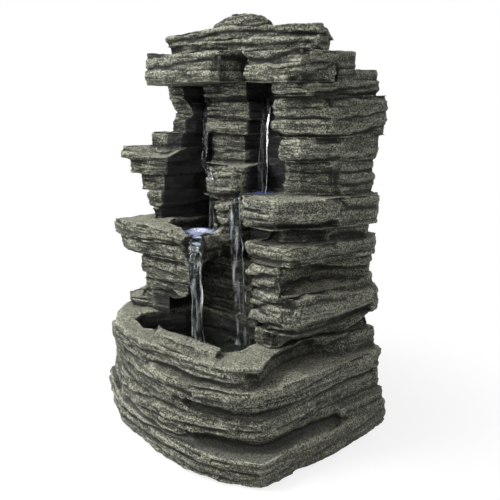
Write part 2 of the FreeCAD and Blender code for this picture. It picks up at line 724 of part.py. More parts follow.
def left_ledge_casting():
    """The upper bowl on the left with its spout, and the jamb that carries it."""
    body = new_body("left_ledge_casting")
    prism(body, "rim_stone", top["rim_band"], top["rim_band"] + size("rim_stone"), [
        (left_side + 7, column_front - 6), (left_side + 18, column_front - 12),
        (left_side + 38, column_front - 4), (left_side + 38, niche_back), (left_side + 6, niche_back),
        (left_side + 4, cave_back - 8),
    ])
    prism(body, "jamb_foot", top["rim_band"], top["cave_foot"], [
        (fin_inner - 14, column_front - 6), (fin_inner + 2, column_front - 5),
        (jamb_inner - 14, column_front - 1), (pier_left + 2, column_front + 14), (pier_left, cave_back),
        (pier_left, niche_back), (left_side + 12, niche_back), (left_side + 16, cave_back - 8),
    ])
    prism(body, "jamb_middle", top["cave_foot"], top["cave_middle"], [
        (fin_inner - 5, column_front - 7), (fin_inner + 10, column_front - 8),
        (jamb_inner - 8, column_front - 4), (pier_left + 2, column_front + 14), (pier_left, cave_back),
        (pier_left, niche_back), (left_side + 18, niche_back), (left_side + 24, cave_back - 8),
    ])
    prism(body, "jamb_head", top["cave_middle"], top["cave_head"], [
        (fin_inner - 8, column_front - 10), (fin_inner + 20, column_front - 10),
        (jamb_inner - 2, column_front - 6), (jamb_inner - 14, column_front + 12),
        (pier_left, cave_back - 12), (pier_left, niche_back), (left_side + 16, niche_back),
        (left_side + 20, cave_back - 8),
    ])
    prism(body, "bowl_floor", top["cave_head"], top["bowl_floor"], [
        (left_side + 8, column_front - 12), (left_side + 30, column_front - 15),
        (fin_inner + 15, column_front - 14), (jamb_inner - 10, column_front - 12),
        (jamb_inner + 4, column_front - 7), (jamb_inner + 12, column_front),
        (jamb_inner + 13, cave_back - 14), (jamb_inner + 6, niche_back), (left_side + 10, niche_back),
        (left_side + 8, cave_back - 8),
    ])
    prism(body, "bowl_wall", top["bowl_floor"], top["bowl_wall"], [
        (left_side + 3, column_front - 14), (left_side + 20, column_front - 17),
        (fin_inner + 12, column_front - 15), (jamb_inner - 12, column_front - 13),
        (jamb_inner + 3, column_front - 9), (jamb_inner + 17, column_front - 2),
        (pier_right, column_front + 11), (pier_right, niche_back), (left_side + 8, niche_back),
        (left_side + 5, cave_back - 18),
    ])
    chute_foot = top["cave_head"] + size("chute_foot")
    prism(body, "spout_chute", chute_foot, top["bowl_floor"] - size("chute_drop"), [
        (jamb_inner + 3, column_front - 12), (jamb_inner + 15, column_front - 11),
        (jamb_inner + 21, column_front - 6), (jamb_inner + 23, column_front),
        (jamb_inner + 15, column_front + 2), (jamb_inner + 4, column_front - 4),
    ])
    prism(body, "spout_left_lip", chute_foot, top["bowl_wall"] - size("chute_drop"), [
        (jamb_inner - 6, column_front - 11), (jamb_inner + 3, column_front - 13),
        (jamb_inner + 7, column_front - 12), (jamb_inner + 8, column_front - 9),
        (jamb_inner + 4, column_front - 5), (jamb_inner - 4, column_front - 6),
    ])
    prism(body, "spout_right_lip", chute_foot, top["bowl_wall"], [
        (jamb_inner + 20, column_front - 7), (jamb_inner + 24, column_front - 3),
        (jamb_inner + 25, column_front + 3), (jamb_inner + 24, column_front + 12),
        (jamb_inner + 19, column_front + 12), (jamb_inner + 19, column_front + 4),
        (jamb_inner + 18, column_front - 3),
    ])
    hollow(body, "pool", top["bowl_wall"], top["bowl_floor"], [
        (fin_inner + 12, column_front + 4), (jamb_inner - 2, column_front - 3),
        (jamb_inner + 15, column_front + 4), (jamb_inner + 8, column_front + 12),
        (jamb_inner + 8, cave_back - 2), (jamb_inner - 12, cave_back),
        (jamb_inner - 14, niche_back - 6), (fin_inner + 4, niche_back - 6),
        (fin_inner + 4, column_front + 14),
    ])
    hollow(body, "spout_notch", top["bowl_wall"], top["bowl_floor"] + size("spout_lip"), [
        (jamb_inner + 6, column_front - 12), (jamb_inner + 22, column_front - 4),
        (jamb_inner + 10, column_front + 6), (jamb_inner + 4, column_front + 2),
    ])
    light_pocket(body, size("left_light_x"), size("left_light_y"), left_floor)


def light_pocket(body, x, y, floor):
    """The hole that a pool light is sunk in, and the way for its lead to the back."""
    radius = size("light_radius") + size("slip_fit")
    round_cut(body, "light_pocket", radius, size("light_height"), (x, y, floor - size("light_height")))
    round_cut(body, "lead_way", size("lead_radius") + size("slip_fit"), niche_back - y,
              (x, y, floor - lead_drop), Y_AXIS)


def centre_pier_casting():
    """The stack in the middle of the niche, with the nose stone that the left stream runs over."""
    body = new_body("centre_pier_casting")
    prism(body, "lit_column", top["bowl_wall"], top["fin_low"], [
        (jamb_inner + 10, column_front + 13), (pier_right - 7, column_front + 12),
        (pier_right, column_front + 16), (pier_right, niche_back), (pier_left + 18, niche_back),
        (jamb_inner - 8, cave_back), (jamb_inner + 10, cave_back - 2),
    ])
    prism(body, "nose", top["fin_low"], top["fin_upper"], [
        (pier_left + 11, cave_back - 5), (jamb_inner, cave_back - 8), (pier_right - 9, cave_back - 7),
        (pier_right - 4, cave_back - 2), (pier_right - 5, niche_back), (pier_left + 6, niche_back),
        (pier_left + 8, cave_back + 4),
    ])
    prism(body, "thin_stones", top["fin_upper"], top["shelf_stone"], [
        (pier_left + 5, cave_back + 7), (jamb_inner - 10, cave_back + 5),
        (pier_right - 14, cave_back + 7), (pier_right - 10, niche_back), (pier_left + 2, niche_back),
    ])
    prism(body, "broad_stone", top["shelf_stone"], top["slim_stone"], [
        (pier_left + 3, cave_back + 5), (jamb_inner - 6, cave_back + 3), (pier_right - 9, cave_back + 6),
        (pier_right - 7, niche_back), (pier_left, niche_back),
    ])
    prism(body, "neck_stone", top["slim_stone"], top["pier_stone"], [
        (pier_left + 1, cave_back + 5), (jamb_inner + 2, cave_back + 3), (pier_right - 5, cave_back + 5),
        (pier_right - 4, niche_back), (pier_left, niche_back),
    ])
    prism(body, "dam_stone", top["pier_stone"], top["header_wall"], [
        (pier_left + 1, cave_back + 4), (jamb_inner - 3, cave_back + 3),
        (pier_right - 8, cave_back + 5), (pier_right - 7, niche_back), (pier_left, niche_back),
    ])


def right_pool_casting():
    """The small lit pool between the pier and the right column."""
    body = new_body("right_pool_casting")
    crest = top["pool_wall"]
    prism(body, "pool_block", top["fin_foot"], crest, [
        (pier_right, cave_back - 8), (pier_right + 7, cave_back - 16),
        (column_inner - 16, cave_back - 18), (column_inner - 6, cave_back - 18),
        (column_inner - 6, niche_back - 14), (column_inner, niche_back), (pier_right, niche_back),
    ])
    hollow(body, "pool", crest, right_floor, [
        (pier_right + 4, cave_back - 3), (pier_right + 9, cave_back - 10),
        (column_inner - 9, cave_back - 12), (column_inner - 9, niche_back - 6),
        (pier_right + 4, niche_back - 6),
    ])
    hollow(body, "spill_notch", crest, right_floor + size("spill_lip"), [
        (pier_right - 1, cave_back - 9), (pier_right + 7, cave_back - 18),
        (pier_right + 11, cave_back - 9), (pier_right + 5, cave_back - 1),
    ])
    light_pocket(body, size("right_light_x"), size("right_light_y"), right_floor)


def cap_stones():
    """The stones over the niche and the header trough."""
    body = new_body("right_tier_stone")
    prism(body, "lower", top["header_floor"], top["header_wall"], [
        (column_inner + 4, cave_back - 14), (column_inner + 20, cave_back - 16),
        (right_side - 15, cave_back - 12), (right_side - 13, cave_back + 14),
        (right_side - 14, rear_face - 10), (right_side - 24, rear_face - 3),
        (column_inner, rear_face - 3), (column_inner, cave_back),
    ])
    prism(body, "upper", top["header_wall"], top["tier_rise"], [
        (column_inner + 2, cave_back + 14), (right_side - 13, cave_back + 14),
        (right_side - 14, rear_face - 10), (right_side - 24, rear_face - 3),
        (column_inner + 2, rear_face - 3),
    ])
    cap_rear = rear_face - size("cap_setback")
    body = new_body("cap_left_block")
    prism(body, "block", top["header_wall"], top["block_rise"], [
        (left_side + 24, column_front + 7), (left_side + 40, column_front + 4),
        (pier_left + 12, column_front + 4), (pier_right - 17, column_front + 5),
        (cap_joint - 2, column_front + 6), (cap_joint, cave_back - 8), (cap_joint, cap_rear),
        (left_side + 30, cap_rear), (left_side + 20, niche_back - 14),
        (left_side + 20, column_front + 20),
    ])
    body = new_body("cap_right_block")
    prism(body, "block", top["header_wall"], top["block_rise"], [
        (cap_joint + 12, column_front + 13), (column_inner + 10, column_front + 12),
        (right_side - 15, column_front + 13), (right_side - 12, cave_back + 11),
        (right_side - 14, cave_back + 13), (cap_joint, cave_back + 13), (cap_joint, cave_back - 4),
        (cap_joint + 6, cave_back - 6),
    ])
    body = new_body("cap_rear_stone")
    prism(body, "lower", top["header_wall"], top["tier_rise"], [
        (cap_joint, cave_back + 13), (column_inner + 2, cave_back + 13), (column_inner + 2, cap_rear),
        (cap_joint, cap_rear),
    ])
    prism(body, "upper", top["tier_rise"], top["block_rise"], [
        (cap_joint, cave_back + 13), (right_side - 28, cave_back + 13), (right_side - 23, niche_back),
        (right_side - 26, rear_face - 18), (column_inner, cap_rear), (cap_joint, cap_rear),
    ])
    body = new_body("cap_slab")
    prism(body, "lower", top["block_rise"], top["slab_lower"], [
        (left_side + 30, cave_back - 7), (left_side + 50, cave_back - 9), (jamb_inner, cave_back - 6),
        (pier_right + 6, cave_back - 9), (column_inner + 10, cave_back - 8),
        (right_side - 22, cave_back + 4), (right_side - 32, niche_back + 4),
        (column_inner - 8, rear_face - 16), (jamb_inner, rear_face - 12),
        (left_side + 40, rear_face - 20), (left_side + 27, niche_back - 4),
    ])
    prism(body, "upper", top["slab_lower"], top["slab_upper"], [
        (left_side + 28, cave_back - 8), (left_side + 48, cave_back - 7), (jamb_inner, cave_back - 4),
        (pier_right + 4, cave_back - 6), (column_inner + 10, cave_back - 5),
        (right_side - 22, cave_back + 7), (right_side - 30, niche_back + 6),
        (column_inner - 10, rear_face - 18), (jamb_inner, rear_face - 14),
        (left_side + 42, rear_face - 22), (left_side + 26, niche_back - 6),
    ])
    body = new_body("cap_top_stone")
    prism(body, "stone", top["slab_upper"], top["top_stone"], [
        (pier_left + 8, cave_back + 10), (jamb_inner + 2, cave_back + 6),
        (pier_right - 3, cave_back + 8), (pier_right + 5, cave_back + 14),
        (pier_right + 1, niche_back + 4), (jamb_inner - 8, niche_back + 8),
        (pier_left + 4, niche_back - 2),
    ])


def pool_light(side, x, y, floor):
    """A sunk light: its cup, the board on the cup's floor, a seal on the step and the lens on top."""
    bottom = floor - size("light_height")
    lens_radius = size("light_radius") - size("light_wall")
    board_radius = lens_radius - size("light_step")
    step = floor - size("lens_height") - size("seal_height")
    cup = cylinder(f"{side}_cup_solid", size("light_radius"), size("light_height"), (x, y, bottom))
    lens_bore = cylinder(f"{side}_lens_bore", lens_radius, floor - step, (x, y, step))
    board_bore = cylinder(f"{side}_board_bore", board_radius, step - bottom - size("light_floor"),
                          (x, y, bottom + size("light_floor")))
    keep(cut(f"{side}_cup", cup, lens_bore, board_bore), f"{side}_light_housing")
    board_top = bottom + size("light_floor") + size("board_height")
    plate = cylinder(f"{side}_board_plate", board_radius - size("push_fit"), size("board_height"),
                     (x, y, bottom + size("light_floor")))
    chip = cylinder(f"{side}_chip", size("chip_radius"), size("chip_height"), (x, y, board_top))
    keep(fuse(f"{side}_board", plate, chip), f"{side}_light_board")
    fitted_radius = lens_radius - size("push_fit")
    seal = ring(f"{side}_seal", fitted_radius, board_radius, size("seal_height"), (x, y, step))
    keep(seal, f"{side}_light_seal")
    lens_bottom = step + size("seal_height")
    lens = cylinder(f"{side}_lens", fitted_radius, size("lens_height"), (x, y, lens_bottom))
    keep(lens, f"{side}_light_lens")


def splice_corner():
    """Low corner of the splice box, on the front wall of the duct."""
    left = size("hose_x") - size("splice_width") / 2
    bottom = top["cave_middle"] - size("splice_height") / 2
    return left, duct_front, bottom


def light_lead(side, x, y, floor):
    """A lead from a light: back into the duct, down it, and across into the splice box."""
    bend = size("lead_bend").value
    start_y = y + size("light_radius") + size("push_fit")
    start = Vector(x.value, start_y.value, (floor - lead_drop).value)
    drop_y = duct_front.value + bend
    low = splice_corner()
    box_side = low[0].value if side == "left" else (low[0] + size("splice_width")).value
    inward = 1 if side == "left" else -1
    turn_z = (low[2] + size("splice_height") / 2).value
    quarter = bend * (1 - 0.5 ** 0.5)
    first = Vector(start.x, drop_y - bend, start.z)
    first_middle = Vector(start.x, drop_y - quarter, start.z - quarter)
    second = Vector(start.x, drop_y, start.z - bend)
    third = Vector(start.x, drop_y, turn_z + bend)
    third_middle = Vector(start.x + inward * quarter, drop_y, turn_z + quarter)
    fourth = Vector(start.x + inward * bend, drop_y, turn_z)
    end = Vector(box_side, drop_y, turn_z)
    path = Part.Wire([
        Part.LineSegment(start, first).toShape(),
        Part.Arc(first, first_middle, second).toShape(),
        Part.LineSegment(second, third).toShape(),
        Part.Arc(third, third_middle, fourth).toShape(),
        Part.LineSegment(fourth, end).toShape(),
    ])
    radius = size("lead_radius").value
    section = Part.Wire([Part.Circle(start, Vector(0, 1, 0), radius).toShape()])
    lead = doc.addObject("Part::Feature", f"{side}_lead")
    lead.Shape = path.makePipeShell([section], True, False)
    lead.Placement = Placement()
    keep(lead, f"{side}_light_lead")


def lights():
    pool_light("left", size("left_light_x"), size("left_light_y"), left_floor)
    pool_light("right", size("right_light_x"), size("right_light_y"), right_floor)
    light_lead("left", size("left_light_x"), size("left_light_y"), left_floor)
    light_lead("right", size("right_light_x"), size("right_light_y"), right_floor)
    low = splice_corner()
    high = (low[0] + size("splice_width"), low[1] + size("splice_depth"), low[2] + size("splice_height"))
    keep(box("splice", low, high), "splice_box")


def pump_motor():
    """The sealed motor: its housing with the rotor well, the core, the coil and the back plate."""
    half_width = size("housing_width") / 2
    half_height = size("housing_height") / 2
    wall = size("housing_wall")
    shell = box("housing_shell", (pump_rear, axis_y - half_width, axis_z - half_height),
                (pump_face, axis_y + half_width, axis_z + half_height))
    space_front = pump_face - size("housing_front")
    space = box("housing_space", (pump_rear, axis_y - half_width + wall, axis_z - half_height + wall),
                (space_front, axis_y + half_width - wall, axis_z + half_height - wall))
    well_outer = size("well_radius") + size("well_wall")
    tube = cylinder("well_tube", well_outer, well_depth + size("well_wall"),
                    (well_end - size("well_wall"), axis_y, axis_z), X_AXIS)
    bore = cylinder("well_bore", size("well_radius"), well_depth,
                    (well_end, axis_y, axis_z), X_AXIS)
    hollow_shell = cut("housing_hollow", shell, space)
    keep(cut("housing", fuse("housing_with_tube", hollow_shell, tube), bore), "pump_housing")
    keep(box("back_plate", (pump_back, axis_y - half_width, axis_z - half_height),
             (pump_rear, axis_y + half_width, axis_z + half_height)), "pump_back_plate")

    leg_inner = well_outer + size("slip_fit")
    leg_outer = half_width - wall - size("core_gap")
    core_front = space_front - size("slip_fit")
    body = new_body("stator_core")
    prism(body, "legs", axis_z - size("core_height") / 2, axis_z + size("core_height") / 2, [
        (yoke_rear, axis_y - leg_outer), (core_front, axis_y - leg_outer),
        (core_front, axis_y - leg_inner), (yoke_front, axis_y - leg_inner),
        (yoke_front, axis_y + leg_inner), (core_front, axis_y + leg_inner),
        (core_front, axis_y + leg_outer), (yoke_rear, axis_y + leg_outer),
    ])
    coil_half = size("coil_width") / 2
    coil_reach = size("core_height") / 2 + size("coil_wall")
    winding = box("winding", (yoke_rear - size("coil_wall"), axis_y - coil_half, axis_z - coil_reach),
                  (yoke_front + size("coil_wall"), axis_y + coil_half, axis_z + coil_reach))
    yoke_hole = box("yoke_hole", (yoke_rear, axis_y - coil_half, axis_z - size("core_height") / 2),
                    (yoke_front, axis_y + coil_half, axis_z + size("core_height") / 2))
    keep(cut("coil", winding, yoke_hole), "stator_coil")


def pump_rotor():
    """The fixed shaft with its two bushes, and the magnet and impeller that spin on it."""
    shaft_front = pump_face + size("volute_length") - size("volute_front")
    bore = size("shaft_radius") + size("running_fit")
    bush_bore = size("shaft_radius") + size("push_fit")
    keep(ring("rear_bush", size("bush_radius"), bush_bore, size("bush_length"),
              (well_end, axis_y, axis_z), X_AXIS), "rear_shaft_bush")
    keep(ring("front_bush", size("bush_radius"), bush_bore, size("bush_length"),
              (shaft_front - size("bush_length"), axis_y, axis_z), X_AXIS), "front_shaft_bush")
    keep(cylinder("shaft", size("shaft_radius"), shaft_front - well_end,
                  (well_end, axis_y, axis_z), X_AXIS), "rotor_shaft")
    magnet_rear = well_end + size("bush_length") + size("slip_fit")
    hub_rear = pump_face - size("hub_setback")
    keep(ring("magnet", size("magnet_radius"), bore, hub_rear - magnet_rear,
              (magnet_rear, axis_y, axis_z), X_AXIS), "rotor_magnet")
    hub_front = shaft_front - size("bush_length") - size("slip_fit")
    vane_front = hub_front - size("slip_fit")
    hub = cylinder("hub", size("hub_radius"), hub_front - hub_rear, (hub_rear, axis_y, axis_z), X_AXIS)
    vanes = []
    for number in range(int(size("vane_count").value)):
        turn = Rotation(Vector(1, 0, 0), 360 * number / size("vane_count").value)
        blade = doc.addObject("Part::Box", f"vane_{number}")
        bind(blade, "Length", size("vane_width"))
        bind(blade, "Width", size("vane_thickness"))
        bind(blade, "Height", size("vane_reach"))
        locate(blade, vane_front - size("vane_width"), axis_y, axis_z, turn)
        vanes.append(blade)
    hub_bore = cylinder("hub_bore", bore, hub_front - hub_rear, (hub_rear, axis_y, axis_z), X_AXIS)
    keep(cut("impeller_solid", fuse("impeller_blank", hub, *vanes), hub_bore), "impeller")


def pump_volute():
    """The cover over the impeller, with the intake holes and the outlet that the hose pushes on."""
    front = pump_face + size("volute_length")
    cup = cylinder("volute_cup", volute_radius, size("volute_length"),
                   (pump_face, axis_y, axis_z), X_AXIS)
    pipe = cylinder("outlet_pipe", size("hose_inner") - size("push_fit"), size("outlet_rise"),
                    (size("hose_x"), hose_y, axis_z))
    collar = cylinder("outlet_collar", hose_outer, size("collar_thickness"),
                      (size("hose_x"), hose_y, axis_z + size("collar_height") - size("collar_thickness")))
    space = cylinder("volute_space", volute_radius - size("volute_wall"),
                     size("volute_length") - size("volute_front"), (pump_face, axis_y, axis_z), X_AXIS)
    bore = cylinder("outlet_bore_hole", size("outlet_bore"), size("outlet_rise"),
                    (size("hose_x"), hose_y, axis_z))
    holes = []
    for number in range(INTAKE_COUNT):
        turn = Rotation(Vector(1, 0, 0), 360 * number / INTAKE_COUNT)
        offset = turn.multVec(Vector(0, 0, 1))
        holes.append(cylinder(f"intake_{number}", size("intake_radius"), size("volute_front"),
                              (front - size("volute_front"), axis_y + size("intake_ring") * offset.y,
                               axis_z + size("intake_ring") * offset.z), X_AXIS))
    groove_outer = volute_radius - size("seal_width") / 2
    groove_inner = groove_outer - size("seal_width")
    groove = ring("seal_groove", groove_outer, groove_inner, size("seal_height"),
                  (pump_face, axis_y, axis_z), X_AXIS)
    blank = fuse("volute_blank", cup, pipe, collar)
    keep(cut("volute", blank, space, bore, groove, *holes), "volute_cover")
    seal = ring("volute_ring", groove_outer - size("push_fit"), groove_inner + size("push_fit"),
                size("seal_height"), (pump_face, axis_y, axis_z), X_AXIS)
    keep(seal, "volute_seal")


def pump_strainer():
    """The pull-off strainer over the volute, and the dial that opens and shuts its front windows."""
    wall = size("strainer_wall")
    half = strainer_half_width
    rear = pump_face + size("slip_fit")
    front = pump_face + size("strainer_length")
    shell = box("strainer_shell", (rear, axis_y - half, axis_z - half),
                (front, axis_y + half, axis_z + half))
    space = box("strainer_space", (rear, axis_y - half + wall, axis_z - half + wall),
                (front - wall, axis_y + half - wall, axis_z + half - wall))
    pipe_half = size("hose_inner") + size("slip_fit")
    pipe_slot = box("pipe_slot", (rear, hose_y - pipe_half, axis_z),
                    (size("hose_x") + pipe_half, hose_y + pipe_half, axis_z + half))
    pitch = (size("strainer_length") - wall * 2) / SLOT_COUNT
    slot_reach = size("strainer_slot_height") / 2
    slots = []
    for number in range(SLOT_COUNT):
        low_x = rear + wall + pitch * number
        slots.append(box(f"strainer_slot_{number}", (low_x, axis_y - half, axis_z - slot_reach),
                         (low_x + size("strainer_slot"), axis_y + half, axis_z + slot_reach)))
    windows = [cylinder(f"front_window_{number}", size("dial_window"), wall,
                        (front - wall, axis_y + size("dial_ring") * side, axis_z), X_AXIS)
               for number, side in enumerate((-1, 1))]
    pin_hole = cylinder("pin_hole", size("dial_pin") + size("running_fit"), wall,
                        (front - wall, axis_y, axis_z), X_AXIS)
    keep(cut("strainer", shell, space, pipe_slot, pin_hole, *slots, *windows), "strainer_cover")

    dial_rear = front + size("slip_fit")
    disc = cylinder("dial_disc", size("dial_radius"), size("dial_thickness"),
                    (dial_rear, axis_y, axis_z), X_AXIS)
    lever = box("dial_handle", (dial_rear, axis_y - size("dial_lever") / 2, axis_z),
                (dial_rear + size("dial_thickness"), axis_y + size("dial_lever") / 2,
                 axis_z + size("dial_radius") + size("dial_lever")))
    pin_rear = front - wall - size("slip_fit") - size("dial_thickness")
    pin = cylinder("dial_pivot", size("dial_pin"), dial_rear - pin_rear,
                   (pin_rear, axis_y, axis_z), X_AXIS)
    head = cylinder("dial_head", size("dial_pin_head"), size("dial_thickness"),
                    (pin_rear, axis_y, axis_z), X_AXIS)
    openings = [cylinder(f"dial_window_{number}", size("dial_window"), size("dial_thickness"),
                         (dial_rear, axis_y + size("dial_ring") * side, axis_z), X_AXIS)
                for number, side in enumerate((-1, 1))]
    keep(cut("dial", fuse("dial_blank", disc, lever, pin, head), *openings), "flow_dial")


def pump_fittings():
    """The suction cups under the motor and the gland where its cord goes in."""
    cups = []
    side = size("housing_width") / 2 - size("cup_inset")
    for column, x in enumerate((pump_face - size("cup_inset"), pump_rear + size("cup_inset"))):
        for row_number, y in enumerate((axis_y - side, axis_y + side)):
            cup = doc.addObject("Part::Cone", f"cup_{column}_{row_number}")
            bind(cup, "Radius1", size("cup_radius"))
            bind(cup, "Radius2", size("cup_neck"))
            bind(cup, "Height", housing_bottom - chamber_floor)
            locate(cup, x, y, chamber_floor)
            cups.append(cup)
    group = doc.addObject("Part::Compound", "suction_cups")
    group.Links = cups
    keep(group, "suction_feet")
    gland_x = pump_rear + size("cup_inset")
    keep(ring("gland", size("gland_radius"), size("gland_bore"), size("gland_height"),
              (gland_x, axis_y, housing_bottom + size("housing_height"))), "pump_cable_gland")


def water_line():
    """The hose up the duct, and the spout that it feeds in the header trough."""
    hose_bottom = axis_z + size("collar_height")
    hose_top = duct_top - size("hose_end_gap")
    keep(ring("hose", hose_outer, size("hose_inner"), hose_top - hose_bottom,
              (size("hose_x"), hose_y, hose_bottom)), "riser_hose")
    tail = cylinder("spout_tail_pipe", size("hose_inner") - size("push_fit"), size("spout_tail"),
                    (size("hose_x"), hose_y, duct_top - size("spout_tail")))
    neck = cylinder("spout_neck", size("spout_body"), top["pier_stone"] - duct_top,
                    (size("hose_x"), hose_y, duct_top))
    flange = cylinder("spout_plate", size("spout_flange"), size("spout_flange_height"),
                      (size("hose_x"), hose_y, top["pier_stone"]))
    bore = cylinder("spout_way", size("spout_bore"),
                    top["pier_stone"] - duct_top + size("spout_tail") + size("spout_flange_height"),
                    (size("hose_x"), hose_y, duct_top - size("spout_tail")))
    keep(cut("spout", fuse("spout_blank", tail, neck, flange), bore), "header_spout")


def rear_fittings():
    """The access door with its seal, the cord grommet and the foot pads."""
    step = door_step()
    low, high = door_opening(size("door_gap"))
    plate_front = step + size("door_seal")
    body = new_body("rear_door")
    prism(body, "plate", low[1], high[1], [
        (low[0], plate_front), (high[0], plate_front), (high[0], rear_face), (low[0], rear_face),
    ])
    pull_x = size("hose_x") - size("pull_width") / 2
    pull_z = (low[1] + high[1] - size("pull_height")) / 2
    square_cut(body, "finger_pull", (pull_x, rear_face - size("pull_depth"), pull_z),
               (pull_x + size("pull_width"), rear_face, pull_z + size("pull_height")))
    inner_low, inner_high = door_opening(size("door_rebate") - size("door_gap"))
    pad = box("seal_pad", (low[0], step, low[1]), (high[0], plate_front, high[1]))
    window = box("seal_window", (inner_low[0], step, inner_low[1]),
                 (inner_high[0], plate_front, inner_high[1]))
    keep(cut("seal_frame", pad, window), "door_seal")

    neck = cylinder("grommet_neck", size("grommet_radius"), size("rear_wall"),
                    (size("hose_x"), chamber_back, grommet_height()), Y_AXIS)
    lip = cylinder("grommet_rim", size("grommet_radius") + size("grommet_flange"), size("grommet_lip"),
                   (size("hose_x"), rear_face, grommet_height()), Y_AXIS)
    bore = cylinder("grommet_way", size("grommet_bore"), size("rear_wall") + size("grommet_lip"),
                    (size("hose_x"), chamber_back, grommet_height()), Y_AXIS)
    keep(cut("grommet", fuse("grommet_blank", neck, lip), bore), "cord_grommet")

    pads = [cylinder(f"foot_{number}", size("foot_radius"), size("foot_pad"), (x, y, as_size(0)))
            for number, (x, y) in enumerate((
                (left_side + 22, bow_front + 40), (right_side - 20, bow_front + 38),
                (left_side + 22, rear_face - 16), (right_side - 22, rear_face - 16)))]
    group = doc.addObject("Part::Compound", "feet")
    group.Links = pads
    keep(group, "foot_pads")


def check_model():
    """Every feature has to be sound before anything is written."""
    for item in doc.Objects:
        if "Invalid" in item.State or "Error" in item.State:
            raise RuntimeError(f"{item.Label} did not build: {item.State}")
    for item in sub_parts:
        if item.Shape.isNull() or not item.Shape.isValid():
            raise RuntimeError(f"{item.Label} has no sound shape")
        if not item.Shape.Solids:
            raise RuntimeError(f"{item.Label} has no solid")


basin_casting()
bowl_partition()
back_wall_casting()
right_column_casting()
left_wing_casting()
left_ledge_casting()
centre_pier_casting()
right_pool_casting()
cap_stones()
lights()
pump_motor()
pump_rotor()
pump_volute()
pump_strainer()
pump_fittings()
water_line()
rear_fittings()
doc.recompute()
check_model()

os.makedirs("parts", exist_ok=True)
for item in sub_parts:
    item.Shape.exportStep(f"parts/{item.Label}.step")
    box_size = item.Shape.BoundBox
    print(f"{item.Label}: {len(item.Shape.Solids)} solid, {item.Shape.Volume:.0f} mm3, "
          f"{box_size.XLength:.1f} x {box_size.YLength:.1f} x {box_size.ZLength:.1f} mm")
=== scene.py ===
import json

import bmesh
import bpy
import numpy as np
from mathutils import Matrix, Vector


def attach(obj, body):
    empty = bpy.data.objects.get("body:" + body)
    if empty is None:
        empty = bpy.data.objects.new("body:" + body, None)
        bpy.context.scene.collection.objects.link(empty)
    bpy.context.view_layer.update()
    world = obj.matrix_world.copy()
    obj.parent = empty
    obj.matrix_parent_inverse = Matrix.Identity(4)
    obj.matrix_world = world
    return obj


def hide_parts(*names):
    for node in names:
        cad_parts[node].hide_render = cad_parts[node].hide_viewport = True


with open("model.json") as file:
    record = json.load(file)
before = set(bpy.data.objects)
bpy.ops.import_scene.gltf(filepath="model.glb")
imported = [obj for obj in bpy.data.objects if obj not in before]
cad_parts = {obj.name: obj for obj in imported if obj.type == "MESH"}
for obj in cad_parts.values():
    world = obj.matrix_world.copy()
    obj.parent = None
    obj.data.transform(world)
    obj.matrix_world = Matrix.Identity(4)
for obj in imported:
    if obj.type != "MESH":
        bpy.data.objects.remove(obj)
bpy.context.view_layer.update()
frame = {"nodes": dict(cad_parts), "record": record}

MM = 0.001
ROOT = "fountain"
WHITE = (1, 1, 1, 1)

# The beds of the rock: from the thinnest to the thickest in mm, how many, and the height of the lowest.
THICK_BEDS = (5.0, 9.0)
THIN_BEDS = (2.4, 4.4)
BED_COUNT = 260
LOWEST_BED = -40
# The step in height that keeps the noise of one layer apart from the next.
LAYER = 100.0
# How high a stone's undercut foot and rounded crown reach, in mm.
FOOT_REACH = 6.0
CROWN_REACH = 2.5
# How far the whole rock sways along x, y and z, and the least height of its underside, in mm.
SWAY = (1.4, 1.4, 1.8)
LEAST_HEIGHT = 0.2
# Smoothing for the fine and the broad part of the relief, as rounds at a cell of 1 mm.
FINE_ROUNDS = 6.5
BROAD_ROUNDS = 36
BROAD_SHARE = 0.45
# First seeds of the noise that doesn't use a casting's own seed.
SWAY_SEED = 900
WAVE_SEED = 910
GROOVE_SEED = 930
DOOR_SEED = 940
RIPPLE_SEED = 950
FOAM_SEED = 980
# Multipliers and shifts that scatter the bits of a cell's number.
CELL_PRIMES = (73856093, 19349663, 83492791)
SEED_PRIME = 2654435761
SCATTER = ((15, 2246822519), (13, 3266489917))
LAST_SHIFT = 16

# Boxes round the fitted surfaces, in mm: the rock isn't weathered there.
FITTED = (
    ((-56, 19, 9), (56, 69, 84)),
    ((-35, 39, 76), (47, 69, 230)),
    ((-58, 36, 240), (46, 67, 256)),
    ((-28, 67, 84), (40, 80, 144)),
    ((-1, 66, 150), (13, 80, 164)),
    ((-19, -21, 128), (-5, -7, 139)),
    ((23, 5, 161), (37, 19, 172)),
)
# How far from a fitted surface the weathering comes back, and how far beside its line a groove
# reaches, in mm.
FITTED_FADE = 3.0
GROOVE_REACH = 10.0

